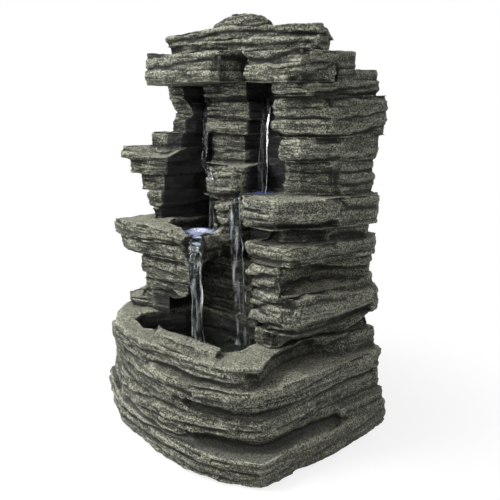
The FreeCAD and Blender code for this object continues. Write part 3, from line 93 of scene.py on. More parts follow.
# The main grooves between the stones: half height, depth and the line each runs along, in mm.
GROOVES = (
    (1.8, 2.6, ((-43, -66, 56), (2, -75, 63), (29, -72, 66), (48, -70, 66),
                (65, -64, 67), (76, -57, 66), (84, -47, 68))),
    (0.9, 1.2, ((-81, -52, 57), (-23, -73, 68), (7, -74, 72), (31, -72, 74),
                (54, -68, 76), (72, -60, 74), (83, -48, 73))),
    (3.0, 2.5, ((40, -74, 48), (43, -69, 45), (48, -67, 44))),
    (1.3, 1.8, ((-49, -63, 46), (-17, -71, 50), (12, -76, 53), (36, -75, 56), (45, -74, 57))),
    (2.4, 3.2, ((48, -67, 47), (63, -63, 46), (76, -57, 44), (88, -55, 44))),
    (1.3, 1.8, ((-100, -42, 20), (-35, -68, 31), (-1, -74, 36), (26, -75, 41), (41, -73, 41))),
    (1.1, 1.6, ((-70, -56, 20), (-23, -69, 24), (14, -74, 29),
                (43, -73, 32), (67, -66, 34), (89, -54, 36))),
    (3.0, 4.5, ((50, -70, 24), (61, -62, 23), (74, -56, 23), (85, -47, 20),
                (89, -36, 20), (91, -16, 20), (93, 4, 20), (97, 23, 20))),
    (1.6, 2.4, ((-86, -52, 6), (-35, -71, 14), (-6, -76, 15), (20, -78, 18), (37, -76, 20), (50, -70, 23))),
    (1.0, 1.4, ((-43, -68, 7), (1, -76, 9), (34, -77, 11), (62, -72, 11), (83, -63, 10), (99, -54, 10))),
    (0.8, 1.1, ((1, -76, 14), (34, -77, 17), (57, -74, 16), (78, -66, 16), (98, -55, 16))),
    (3.4, 6.5, ((85, -45, 71), (81, -31, 72), (74, -10, 71), (73, 4, 73), (74, 13, 73))),
    (2.2, 3.5, ((74, 15, 72), (77, 27, 69), (83, 45, 75), (82, 70, 84))),
    (1.8, 3.0, ((87, -45, 45), (92, -32, 44), (95, -16, 44), (92, 9, 43), (93, 35, 46), (92, 61, 46))),
    (0.9, 1.3, ((91, -40, 55), (95, -21, 54), (95, 5, 57), (95, 32, 60), (95, 54, 63))),
    (1.4, 2.0, ((96, -31, 36), (96, -12, 33), (92, 8, 37), (92, 23, 37))),
    (0.9, 1.2, ((99, -47, 8), (98, -19, 7), (100, 15, 10), (97, 65, 13))),
    (5.0, 6.0, ((69, -19, 89), (90, -22, 96), (96, -9, 97), (98, 14, 97), (96, 51, 95))),
    (4.0, 3.5, ((81, -16, 126), (77, -3, 122), (74, 8, 122))),
    (1.4, 3.6, ((51, -24, 127), (65, -26, 130), (82, -25, 132))),
    (1.4, 3.6, ((51, -24, 119), (68, -26, 122), (82, -23, 123))),
    (1.4, 3.6, ((51, -24, 106), (72, -27, 112), (84, -24, 114))),
    (1.8, 4.2, ((54, -25, 95), (69, -27, 97), (80, -26, 99))),
    (9.0, 3.5, ((81, -20, 128), (81, -18, 122), (84, -19, 118))),
    (0.9, 1.2, ((96, -6, 108), (98, 13, 108), (95, 60, 105))),
    (2.0, 3.2, ((53, -24, 138), (70, -22, 140), (88, -21, 142),
                (73, 27, 129), (77, 36, 128), (90, 58, 129))),
    (1.0, 1.6, ((51, -22, 145), (75, -21, 147), (90, -13, 149), (88, 12, 150))),
    (5.5, 8.5, ((53, -14, 157), (74, -23, 160), (81, -9, 159), (86, 4, 159), (94, 12, 161))),
    (1.4, 2.0, ((87, 24, 154), (88, 44, 154))),
    (1.0, 1.8, ((47, -23, 172), (64, -24, 173), (75, -22, 174), (86, -6, 171), (94, 14, 173))),
    (0.9, 1.4, ((48, -24, 166), (64, -24, 167), (76, -22, 167), (86, -6, 164))),
    (2.0, 2.5, ((88, 22, 181), (94, 29, 173), (95, 53, 172))),
    (2.0, 4.0, ((53, -3, 221), (68, -2, 219), (83, 8, 219), (92, 27, 220), (93, 62, 225))),
    (1.1, 1.7, ((55, -3, 232), (68, -2, 231), (80, 4, 232), (92, 14, 230), (93, 61, 235))),
    (2.0, 3.2, ((55, -3, 245), (67, -2, 245), (92, 13, 245), (92, 38, 245), (86, 64, 247))),
    (0.8, 1.1, ((68, -2, 239), (82, 6, 238), (92, 14, 239), (93, 62, 241))),
    (1.6, 2.4, ((65, -2, 204), (81, 4, 204), (89, 19, 205), (91, 52, 205))),
    (1.2, 2.0, ((88, 24, 196), (89, 41, 195), (89, 56, 195))),
    (1.4, 2.2, ((88, 24, 187), (89, 41, 186), (89, 58, 187))),
    (9.0, 4.5, ((66, 3, 193), (77, 8, 192), (88, 19, 193))),
    (1.6, 2.2, ((-64, 0, 283), (-32, 0, 281), (-8, 2, 279))),
    (1.2, 1.8, ((-72, -18, 268), (-36, -20, 269), (-12, -19, 270), (15, -18, 269))),
    (9.0, 3.0, ((15, -18, 267), (16, -17, 266))),
    (2.4, 4.5, ((16, -17, 271), (18, -1, 270), (50, -12, 270), (72, -12, 273), (85, -11, 274))),
    (1.2, 1.8, ((16, -16, 261), (37, -11, 262), (62, -12, 264), (83, -11, 265), (87, 7, 268))),
    (3.0, 3.5, ((81, -11, 257), (86, -3, 259), (87, 11, 264), (88, 18, 267))),
    (1.1, 2.0, ((-67, 0, 289), (-34, 2, 289), (-6, 4, 290), (25, 2, 289), (57, 3, 287), (76, 20, 286))),
    (1.0, 1.6, ((-66, 1, 285), (-18, 2, 282), (11, 0, 280), (38, -1, 279), (63, 2, 281), (74, 24, 280))),
    (1.1, 1.8, ((73, -7, 247), (87, 19, 249), (86, 63, 253))),
    (1.6, 2.2, ((87, 13, 258), (87, 34, 260))),
    (1.2, 1.8, ((-64, -40, 139), (-39, -38, 141), (-19, -36, 139))),
    (3.0, 4.0, ((-67, -39, 127), (-49, -34, 123), (-28, -32, 124), (-22, -18, 121))),
    (1.4, 2.2, ((-57, -34, 114), (-31, -33, 115), (-19, -23, 113))),
    (1.4, 2.2, ((-56, -32, 103), (-33, -30, 106), (-41, -5, 97))),
    (2.0, 3.0, ((-72, -30, 90), (-45, -31, 96), (-33, -30, 99))),
    (1.6, 2.6, ((-56, 24, 244), (-16, 11, 243), (7, 13, 244))),
    (1.2, 2.0, ((-54, 23, 230), (-19, 11, 229), (3, 12, 229))),
    (1.4, 2.4, ((-58, 26, 218), (-20, 11, 220), (-1, 13, 220))),
    (1.4, 2.4, ((-56, 26, 204), (-22, 13, 205), (-4, 14, 207))),
    (1.8, 3.0, ((-28, 3, 196), (-7, 0, 198), (-1, 15, 198))),
    (1.1, 1.6, ((-28, 3, 187), (-10, 0, 187), (7, 1, 190))),
    (2.4, 3.5, ((-20, 1, 173), (-4, 0, 174), (9, 2, 176))),
    (1.2, 2.2, ((1, -11, 165), (10, -12, 165), (16, -8, 166))),
    (1.2, 2.2, ((1, -11, 153), (10, -12, 154), (16, -8, 155))),
)

# The spout's two lips, as foot and crest outlines in mm.
SPOUT = (
    (((-20, -33, 127), (-9, -36, 127), (0, -36, 127), (2, -33, 127), (-4, -28, 127), (-17, -29, 127)),
     ((-20, -36, 152), (-9, -38, 147.5), (0, -37, 142), (2.5, -34.5, 134), (-4, -29, 139), (-16, -29, 149))),
    (((6, -31, 129), (9, -29, 132), (12.5, -22, 139), (12, -12, 142), (7, -12, 142), (7, -24, 134)),
     ((7, -30.5, 135), (9.5, -29, 138), (13, -22, 148), (12, -12, 153), (8.5, -12, 153), (8.5, -23, 147))),
)
# Where the spout's chute starts, how it runs and how long it is, in mm.
CHUTE = ((-7, -22), (12, -11), 16.3)
# The level direction in which the cap's right end lies.
CAP_END = (0.67, 0.74)
# Tops that tilt: how far in mm, between which heights, and from which x to which.
TILTED = {
    "cap_left_block": (4.0, (262, 276), (-25, -72)),
    "right_tier_stone": (1.5, (255, 262), (60, 84)),
}


def hashed(cells, seed):
    """Repeatable numbers from 0 to 1, one for each cell of a grid."""
    mixed = np.full(len(cells), (seed * SEED_PRIME) % 2**32, np.uint32)
    for axis, prime in enumerate(CELL_PRIMES):
        mixed ^= cells[:, axis].astype(np.uint32) * np.uint32(prime)
    for shift, prime in SCATTER:
        mixed ^= mixed >> np.uint32(shift)
        mixed *= np.uint32(prime)
    mixed ^= mixed >> np.uint32(LAST_SHIFT)
    return mixed / 2.0**32


def noise(points, cell, seed):
    """Smooth noise from -1 to 1, with features about as large as the cell."""
    place = points / np.asarray(cell, float)
    low = np.floor(place)
    part = place - low
    part = part * part * (3 - 2 * part)
    low = low.astype(np.int64)
    total = np.zeros(len(points))
    for corner in np.ndindex(2, 2, 2):
        weight = np.prod(np.where(corner, part, 1 - part), axis=1)
        total += weight * hashed(low + np.array(corner), seed)
    return total * 2 - 1


def step(value, low, high):
    """A smooth rise from 0 at low to 1 at high."""
    part = np.clip((value - low) / (high - low), 0, 1)
    return part * part * (3 - 2 * part)


class Mesh:
    """A mesh's points in mm, with what smoothing and carving need."""

    def __init__(self, data):
        self.data = data
        self.count = len(data.vertices)
        flat = np.empty(self.count * 3, np.float32)
        data.vertices.foreach_get("co", flat)
        self.points = flat.reshape(-1, 3).astype(float) / MM
        pairs = np.empty(len(data.edges) * 2, np.int32)
        data.edges.foreach_get("vertices", pairs)
        self.edges = pairs.reshape(-1, 2)
        self.degree = np.maximum(np.bincount(pairs, minlength=self.count), 1)

    def around(self, values):
        """The mean of each point's neighbours."""
        first, second = self.edges.T
        columns = values.reshape(self.count, -1)
        mean = np.empty_like(columns)
        for number, column in enumerate(columns.T):
            total = np.bincount(first, column[second], self.count)
            total += np.bincount(second, column[first], self.count)
            mean[:, number] = total / self.degree
        return mean.reshape(values.shape)

    def smoothed(self, values, rounds):
        """The values after so many rounds of drawing each half way to its neighbours."""
        for _ in range(rounds):
            values = (values + self.around(values)) / 2
        return values

    def write(self):
        self.data.vertices.foreach_set("co", (self.points * MM).astype(np.float32).ravel())
        self.data.update()

    def normals(self):
        """Each point's normal on the mesh as it stands."""
        self.write()
        flat = np.empty(self.count * 3, np.float32)
        self.data.vertex_normals.foreach_get("vector", flat)
        return flat.reshape(-1, 3).astype(float)

    def store(self, name, values):
        """Keeps a number for each point, for the material to read."""
        layer = self.data.attributes.new(name, "FLOAT", "POINT")
        layer.data.foreach_set("value", values.astype(np.float32))


def remeshed(data, voxel):
    """An even mesh of a closed shape, with cells of the voxel's size in mm."""
    blank = bpy.data.objects.new("blank", data)
    bpy.context.scene.collection.objects.link(blank)
    remesh = blank.modifiers.new("remesh", "REMESH")
    remesh.mode = "VOXEL"
    remesh.voxel_size = voxel * MM
    graph = bpy.context.evaluated_depsgraph_get()
    result = bpy.data.meshes.new_from_object(blank.evaluated_get(graph))
    bpy.data.objects.remove(blank)
    return result


def joined(data, blocks):
    """A copy of a mesh with closed blocks added to it, for the remesh to grow together."""
    whole = bmesh.new()
    whole.from_mesh(data)
    for foot, crest in blocks:
        ring = [[whole.verts.new(Vector(point) * MM) for point in points] for points in (foot, crest)]
        whole.faces.new(ring[0][::-1])
        whole.faces.new(ring[1])
        for side in range(len(foot)):
            beside = (side + 1) % len(foot)
            whole.faces.new((ring[0][side], ring[0][beside], ring[1][beside], ring[1][side]))
    result = bpy.data.meshes.new(data.name)
    whole.to_mesh(result)
    whole.free()
    return result


def looseness(points):
    """1 where the rock may weather, falling to 0 at the fitted surfaces."""
    free = np.ones(len(points))
    for low, high in FITTED:
        outside = np.maximum(np.maximum(np.array(low) - points, points - np.array(high)), 0)
        free = np.minimum(free, step(np.linalg.norm(outside, axis=1), 0, FITTED_FADE))
    return free


def beds(height, thickness, seed):
    """The number of the bed of rock at each height, and the place in it from 0 to 1."""
    draw = np.random.default_rng(seed)
    edges = np.cumsum(draw.uniform(*thickness, BED_COUNT)) + LOWEST_BED
    number = np.clip(np.searchsorted(edges, height) - 1, 0, len(edges) - 2)
    return number, (height - edges[number]) / (edges[number + 1] - edges[number])


def layered(points, number):
    """Each point's place in the noise of its own layer."""
    return np.column_stack((points[:, 0], points[:, 1], number * LAYER))


def bed_relief(points, height, thickness, seed):
    """How far each bed stands out: long runs, worn edges and some pieces broken off."""
    number, part = beds(height, thickness, seed)
    place = layered(points, number)
    shift = 0.7 * noise(place, (46, 46, LAYER), seed + 1) + 0.4 * noise(place, (15, 15, LAYER), seed + 2)
    broken = step(noise(place, (30, 30, LAYER), seed + 3), 0.15, 0.3)
    foot = 1 - step(part, 0.0, 0.25)
    return shift + 0.5 * part - 0.9 * broken - 0.7 * foot


def stone_profile(points, levels, undercut, rough, seed):
    """How far a stone's side draws in: undercut at its foot and rounded at its crown."""
    levels = np.array(levels, float)
    flat = points * np.array((1, 1, 0))
    height = points[:, 2] + 1.2 * noise(flat, 30, seed)
    number = np.clip(np.searchsorted(levels, height) - 1, 0, len(levels) - 2)
    span = levels[number + 1] - levels[number]
    above = np.clip(height - levels[number], 0, span)
    place = layered(points, number)
    depth = undercut * (0.5 + 0.6 * noise(place, (26, 26, LAYER), seed + 1))
    foot = 1 - step(above, 0, np.minimum(FOOT_REACH, 0.5 * span))
    crown = 1 - step(span - above, 0, np.minimum(CROWN_REACH, 0.4 * span))
    bow = 1.3 * noise(place, (34, 34, LAYER), seed + 2) + 0.7 * noise(place, (13, 13, LAYER), seed + 3)
    return depth * foot + 0.5 * crown + rough * bow


def groove_profile(points):
    """How far the main grooves draw the rock in, with a lip left standing over each."""
    total = np.zeros(len(points))
    wander = 0.8 * noise(points, (15, 15, 30), GROOVE_SEED)
    wander += 0.5 * noise(points, (6, 6, 30), GROOVE_SEED + 1)
    uneven = 0.85 + 0.35 * noise(points, (22, 22, 12), GROOVE_SEED + 2)
    for half, depth, line in GROOVES:
        line = np.array(line, float)
        margin = np.array((GROOVE_REACH, GROOVE_REACH, 5 * half))
        inside = (points > line.min(axis=0) - margin) & (points < line.max(axis=0) + margin)
        near = np.flatnonzero(inside.all(axis=1))
        if not len(near):
            continue
        spot = points[near]
        best = np.full(len(near), np.inf)
        gap = np.zeros(len(near))
        for start, end in zip(line[:-1], line[1:]):
            run = (end - start)[:2]
            along = np.clip((spot[:, :2] - start[:2]) @ run / (run @ run), 0, 1)
            aside = np.linalg.norm(spot[:, :2] - start[:2] - along[:, None] * run, axis=1)
            closer = aside < best
            best = np.where(closer, aside, best)
            gap = np.where(closer, spot[:, 2] - start[2] - along * (end - start)[2], gap)
        gap = (gap + wander[near] * min(1.2, half / 1.2)) / half
        fade = (1 - step(best, 0.5 * GROOVE_REACH, GROOVE_REACH)) * uneven[near]
        # Cut sharply into the lip above, which stands out over it, and sloped below.
        above = np.exp(-(gap / 0.8) ** 2) - 0.25 * np.exp(-((gap - 2.2) / 0.9) ** 2)
        below = np.exp(-np.abs(gap / 1.9) ** 1.5)
        drawn = np.where(gap > 0, above, below) * fade * depth
        total[near] = np.where(np.abs(drawn) > np.abs(total[near]), drawn, total[near])
    return total


def walls(mesh, free):
    """Each point's normal, the level direction out of its wall, and how much of a wall it is."""
    normals = mesh.smoothed(mesh.normals(), 2)
    level = np.hypot(normals[:, 0], normals[:, 1])
    outward = normals * np.array((1, 1, 0)) / np.maximum(level, 0.05)[:, None]
    return normals, outward, step(level, 0.25, 0.8) * free


def carve(mesh, free, seed, levels, undercut, soft, rough, tilt):
    """Weathers a casting: undercuts its stones, cuts the main grooves, wears its edges and beds its sides."""
    for _ in range(soft):
        mesh.points += 0.5 * free[:, None] * (mesh.around(mesh.points) - mesh.points)
    _, outward, wall = walls(mesh, free)
    mesh.points -= outward * (stone_profile(mesh.points, levels, undercut, rough, seed) * wall)[:, None]
    mesh.points -= outward * (groove_profile(mesh.points) * wall)[:, None]
    sway = np.column_stack([noise(mesh.points, (62, 62, 34), SWAY_SEED + axis) for axis in range(3)])
    mesh.points += free[:, None] * sway * np.array(SWAY)
    normals = mesh.normals()
    bulge = np.einsum("ij,ij->i", mesh.points - mesh.smoothed(mesh.points, 14), normals)
    worn = np.clip(bulge - 0.3, 0, 2) * (0.05 + 1.2 * noise(mesh.points, 11, seed + 5))
    mesh.points -= mesh.smoothed(normals, 3) * (np.clip(worn, 0, 2) * free)[:, None]
    normals, outward, wall = walls(mesh, free)
    wall *= 1 - 0.35 * step(normals[:, 0], 0.5, 0.9)
    height = mesh.points[:, 2] + mesh.points[:, :2] @ np.array(tilt)
    height = height + 1.8 * noise(mesh.points, 55, WAVE_SEED) + 0.5 * noise(mesh.points, 17, WAVE_SEED + 1)
    relief = 0.75 * bed_relief(mesh.points, height, THICK_BEDS, seed + 10)
    relief += 0.5 * bed_relief(mesh.points, height, THIN_BEDS, seed + 20)
    relief += (0.7 * noise(mesh.points, (17, 17, 11), seed + 25)
               + 0.5 * noise(mesh.points, (8, 8, 5), seed + 26))
    mesh.points += outward * (relief * wall)[:, None]
    tops = step(normals[:, 2], 0.5, 0.9) * free
    flakes = np.round(1.6 * noise(mesh.points, (21, 21, 60), seed + 30)) / 1.6
    mesh.points[:, 2] -= tops * (0.9 + 0.7 * flakes + 0.5 * noise(mesh.points, (9, 9, 60), seed + 31))
    grit = 0.32 * noise(mesh.points, 5.0, seed + 32) + 0.24 * noise(mesh.points, 2.4, seed + 33)
    mesh.points += mesh.normals() * (grit * free)[:, None]
    mesh.points[:, 2] = np.maximum(mesh.points[:, 2], LEAST_HEIGHT)


def relief_of(mesh, voxel):
    """How far each point stands out of its surroundings, in mm."""
    normals = mesh.normals()
    fine = mesh.points - mesh.smoothed(mesh.points, round(FINE_ROUNDS / voxel**2))
    broad = mesh.points - mesh.smoothed(mesh.points, round(BROAD_ROUNDS / voxel**2))
    return np.einsum("ij,ij->i", fine + BROAD_SHARE * broad, normals)


def shade_smooth(data):
    data.polygons.foreach_set("use_smooth", [True] * len(data.polygons))


def link(name, data, material, body=ROOT):
    """Shows a mesh as a piece of the scene that rides a body."""
    piece = bpy.data.objects.new(name, data)
    bpy.context.scene.collection.objects.link(piece)
    data.materials.clear()
    data.materials.append(material)
    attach(piece, body)
    return piece


class Graph:
    """The nodes of a material or a world, with short calls for the ones used here."""

    def __init__(self, owner, output="ShaderNodeOutputMaterial"):
        self.owner = owner
        self.owner.use_nodes = True
        self.tree = self.owner.node_tree
        self.tree.nodes.clear()
        self.output = self.add(output)

    def add(self, kind, inputs=None, **settings):
        node = self.tree.nodes.new(kind)
        for name, value in settings.items():
            setattr(node, name, value)
        for key, value in (inputs or {}).items():
            self.put(node.inputs[key], value)
        return node

    def put(self, socket, value):
        if isinstance(value, bpy.types.NodeSocket):
            self.tree.links.new(value, socket)
        elif hasattr(value, "__len__") and len(value) == 3 and socket.type == "RGBA":
            socket.default_value = (*value, 1)
        else:
            socket.default_value = value

    def math(self, operation, first, second=0.0):
        return self.add("ShaderNodeMath", {0: first, 1: second}, operation=operation).outputs[0]

    def times(self, first, second):
        return self.math("MULTIPLY", first, second)

    def plus(self, first, second):
        return self.math("ADD", first, second)

    def ramp(self, value, low, high, start=0.0, end=1.0):
        """Goes smoothly from start to end as the value goes from low to high."""
        node = self.add("ShaderNodeMapRange", {0: value, 1: low, 2: high, 3: start, 4: end},
                        interpolation_type="SMOOTHSTEP")
        return node.outputs[0]

    def mix(self, share, first, second):
        return self.add("ShaderNodeMix", {0: share, 6: first, 7: second}, data_type="RGBA").outputs[2]

    def place(self, scale=(1, 1, 1)):
        place = self.add("ShaderNodeTexCoord").outputs["Object"]
        return self.add("ShaderNodeMapping", {"Vector": place, "Scale": scale}).outputs[0]

    def noise(self, scale, detail=3.0, stretch=(1, 1, 1), rough=0.55):
        node = self.add("ShaderNodeTexNoise", {
            "Vector": self.place(stretch), "Scale": scale, "Detail": detail, "Roughness": rough})
        return node.outputs[0]

    def field(self, name):
        return self.add("ShaderNodeAttribute", attribute_name=name).outputs["Fac"]

    def bump(self, height, distance, strength):
        node = self.add("ShaderNodeBump", {"Height": height, "Distance": distance, "Strength": strength})
        return node.outputs[0]

    def surface(self, **inputs):
        named = {name.replace("_", " "): value for name, value in inputs.items()}
        self.show(self.add("ShaderNodeBsdfPrincipled", named))
        return self.owner

    def show(self, shader):
        self.tree.links.new(shader.outputs[0], self.output.inputs["Surface"])


def new_material(name):
    return Graph(bpy.data.materials.new(name))


# Colours of the slate. Its seams and the painted shade in its cavities share one.
SLATE = {
    "dark": (0.084, 0.089, 0.063),
    "pale": (0.164, 0.169, 0.122),
    "olive": (0.145, 0.136, 0.080),
    # Painted shade: the colour of the sides that face right.
    "right": (0.050, 0.053, 0.040),
    # Painted light with some dust: the paler colour of the tops.
    "top": (0.292, 0.291, 0.222),
    "hollow": (0.026, 0.028, 0.020),
    "lump": (0.034, 0.036, 0.026),
    "dark_speck": (0.015, 0.016, 0.012),
    "pale_speck": (0.53, 0.54, 0.435),
    "brushed": (0.45, 0.457, 0.358),
    # For the seams, and for the painted shade in the cavities.
    "seam_and_cavity_shade": (0.012, 0.013, 0.010),
    # A dark wash with painted shade, for the recesses.
    "recess_wash_and_shade": (0.013, 0.014, 0.010),
    "pit": (0.006, 0.006, 0.005),
    # Near-black for damp rock, and painted shade in the niche and the cave.
    "wet": (0.009, 0.011, 0.011),
}
# How far, in metres, the ambient occlusion looks for the painted shade in the cavities.
CAVITY_REACH = 0.014
PIT_SCALE = 70.0
SLATE_BUMP = 0.0022


def slate_material():
    """Grey-green slate: dark seams, a pale brush on its ridges, tops paler with painted light and some dust,
    sides that face right darker with painted shade, a dark wash with painted shade in the recesses, and
    near-black damp places and painted shade in the niche and the cave.
    """
    graph = new_material("slate")
    relief = graph.field("relief")
    wet = graph.field("wet")
    normal = graph.add("ShaderNodeNewGeometry").outputs["Normal"]
    facing = graph.add("ShaderNodeSeparateXYZ", {0: normal}).outputs
    right, up = facing[0], facing[2]
    grain = graph.noise(720, 4.0, rough=0.85)
    lumps = graph.noise(190, 5.0, (1, 1, 1.8), 0.7)
    lines = graph.noise(30, 6.0, (1, 1, 9), 0.66)
    thin = graph.noise(60, 5.0, (1, 1, 6), 0.66)
    patches = graph.noise(27, 4.0)
    stains = graph.noise(16, 3.0)
    # Seams run along the beds, on the steep sides.
    seams = graph.ramp(graph.math("ABSOLUTE", graph.math("SUBTRACT", lines, 0.5)), 0.040, 0.010)
    seams = graph.times(seams, graph.ramp(patches, 0.38, 0.58, 0.35, 1.0))
    steep = graph.times(graph.ramp(up, 0.75, 0.3), graph.ramp(right, 0.5, 0.9, 1.0, 0.5))
    seams = graph.times(seams, steep)
    # The ground colour, with painted shade on the sides that face right and painted light, with some dust, on
    # the tops.
    colour = graph.mix(graph.ramp(patches, 0.34, 0.66), SLATE["dark"], SLATE["pale"])
    colour = graph.mix(graph.ramp(stains, 0.52, 0.70, 0.0, 0.55), colour, SLATE["olive"])
    # Painted shade darkens the sides that face right.
    colour = graph.mix(graph.ramp(right, 0.5, 0.95, 0.0, 0.4), colour, SLATE["right"])
    # Painted light with some dust makes the tops paler.
    colour = graph.mix(graph.ramp(up, 0.45, 0.9, 0.0, 0.85), colour, SLATE["top"])
    # Mottling and grain.
    hollow = graph.times(graph.ramp(thin, 0.50, 0.36, 0.0, 0.5), steep)
    colour = graph.mix(hollow, colour, SLATE["hollow"])
    colour = graph.mix(graph.ramp(lumps, 0.50, 0.34, 0.0, 0.36), colour, SLATE["lump"])
    colour = graph.mix(graph.ramp(grain, 0.51, 0.39, 0.0, 0.85), colour, SLATE["hollow"])
    specks = graph.noise(1150, 2.0)
    dark = graph.times(graph.ramp(specks, 0.49, 0.41, 0.0, 0.98), graph.ramp(patches, 0.62, 0.40, 0.7, 1.0))
    colour = graph.mix(dark, colour, SLATE["dark_speck"])
    pale = graph.times(graph.ramp(specks, 0.55, 0.62, 0.0, 0.78), graph.ramp(lumps, 0.44, 0.60, 0.35, 1.0))
    colour = graph.mix(pale, colour, SLATE["pale_speck"])
    # The pale brush on what stands out.
    brushed = graph.plus(graph.ramp(relief, 0.02, 0.55), graph.ramp(lumps, 0.54, 0.70, 0.0, 0.25))
    brushed = graph.times(brushed, graph.ramp(grain, 0.46, 0.58))
    # Painted shade: less brush on the sides that face right.
    brushed = graph.times(brushed, graph.ramp(right, 0.5, 0.9, 1.0, 0.6))
    colour = graph.mix(brushed, colour, SLATE["brushed"])
    # Black in the seams and pits; a dark wash with painted shade in the recesses and cavities, weaker on the
    # tops; near-black in the damp places and, as painted shade, in the niche and the cave.
    colour = graph.mix(graph.times(seams, 0.85), colour, SLATE["seam_and_cavity_shade"])
    # The recesses: a dark wash with painted shade, weaker on the tops.
    side = graph.ramp(up, 0.35, 0.85, 1.0, 0.6)
    recess_wash_and_shade = graph.times(graph.ramp(relief, -0.10, -0.70, 0.0, 0.9), side)
    colour = graph.mix(recess_wash_and_shade, colour, SLATE["recess_wash_and_shade"])
    # The cavities that the ambient occlusion finds: a dark wash with painted shade, weaker on the tops.
    shade = graph.add("ShaderNodeAmbientOcclusion", {"Distance": CAVITY_REACH}, samples=6)
    cavity_wash_and_shade = graph.times(graph.ramp(shade.outputs["AO"], 0.74, 0.24, 0.0, 0.92), side)
    colour = graph.mix(cavity_wash_and_shade, colour, SLATE["seam_and_cavity_shade"])
    pits = graph.add("ShaderNodeTexVoronoi", {"Vector": graph.place(), "Scale": PIT_SCALE})
    chosen = graph.add("ShaderNodeSeparateColor", {0: pits.outputs["Color"]}).outputs[0]
    pit = graph.times(graph.ramp(pits.outputs["Distance"], 0.085, 0.05), graph.ramp(chosen, 0.90, 0.92))
    colour = graph.mix(pit, colour, SLATE["pit"])
    # Damp rock, and painted shade in the niche and the cave, turn near-black.
    colour = graph.mix(graph.times(wet, 0.94), colour, SLATE["wet"])
    height = graph.plus(graph.times(grain, 0.35), graph.times(thin, 0.7))
    height = graph.plus(height, graph.times(lumps, 0.7))
    height = graph.math("SUBTRACT", height, graph.times(graph.plus(pit, seams), 0.6))
    rough = graph.math("SUBTRACT", graph.ramp(grain, 0.3, 0.7, 0.97, 0.82), graph.times(wet, 0.38))
    return graph.surface(Base_Color=colour, Roughness=rough, Normal=graph.bump(height, SLATE_BUMP, 0.9))


slate = slate_material()


def wet_and_shade_mask(name, points, normals):
    """1 where water runs or stands on the rock and where painted shade darkens the niche, the cave and some
    low places; 0 elsewhere.
    """
    x, y, z = points.T
    if name == "basin_casting":
        bowl = 0.85 * step(z, 76, 72) * step(y, -62, -58) * (np.abs(x) < 62) * step(z, 26, 30) * (y < 20)
        # Tops low on the basin are darkened, the lowest most.
        ledges = step(normals[:, 2], 0.4, 0.8) * (0.42 * step(z, 34, 26) + 0.18 * step(z, 60, 50))
        return np.maximum(bowl, ledges)
    if name == "bowl_partition":
        return 0.6 * step(z, 76, 72)
    # Painted shade with some dampness on the niche's back wall, strongest from 134 mm up.
    if name == "back_wall_casting":
        return step(y, 41, 39) * (0.20 + 0.78 * step(z, 126, 134))
    # Painted shade on the wing's inner face, which looks into the niche.
    if name == "left_wing_casting":
        return step(normals[:, 0], 0.3, 0.7) * step(x, -68, -63)
    # Painted shade on the cave's inner faces; the pool's floor is damp; the ledge's lower left end is
    # darkened.
    if name == "left_ledge_casting":
        cave = 0.6 * step(normals[:, 0], 0.3, 0.7) * step(z, 136, 130) * step(y, -20, -8)
        floor = step(z, 148, 145) * step(z, 132, 137) * step(y, -27, -22) * step(x, 7, 3)
        floor *= (x > -58) & (y < 30)
        foot = 0.72 * step(z, 98, 93) * step(x, -60, -50)
        return np.maximum(np.maximum(cave, floor), foot)
    # Painted shade with some dampness on the pier's sides in the niche.
    if name == "centre_pier_casting":
        return 0.9 * step(np.abs(normals[:, 0]), 0.4, 0.8) * step(y, 6, 12)
    if name == "right_pool_casting":
        return step(y, -8, -3) * 0.9
    # Painted shade with some dampness on the column's inner face in the niche.
    if name == "right_column_casting":
        return step(x, 54, 51) * step(y, -14, -6) * 0.8
    return np.zeros(len(points))


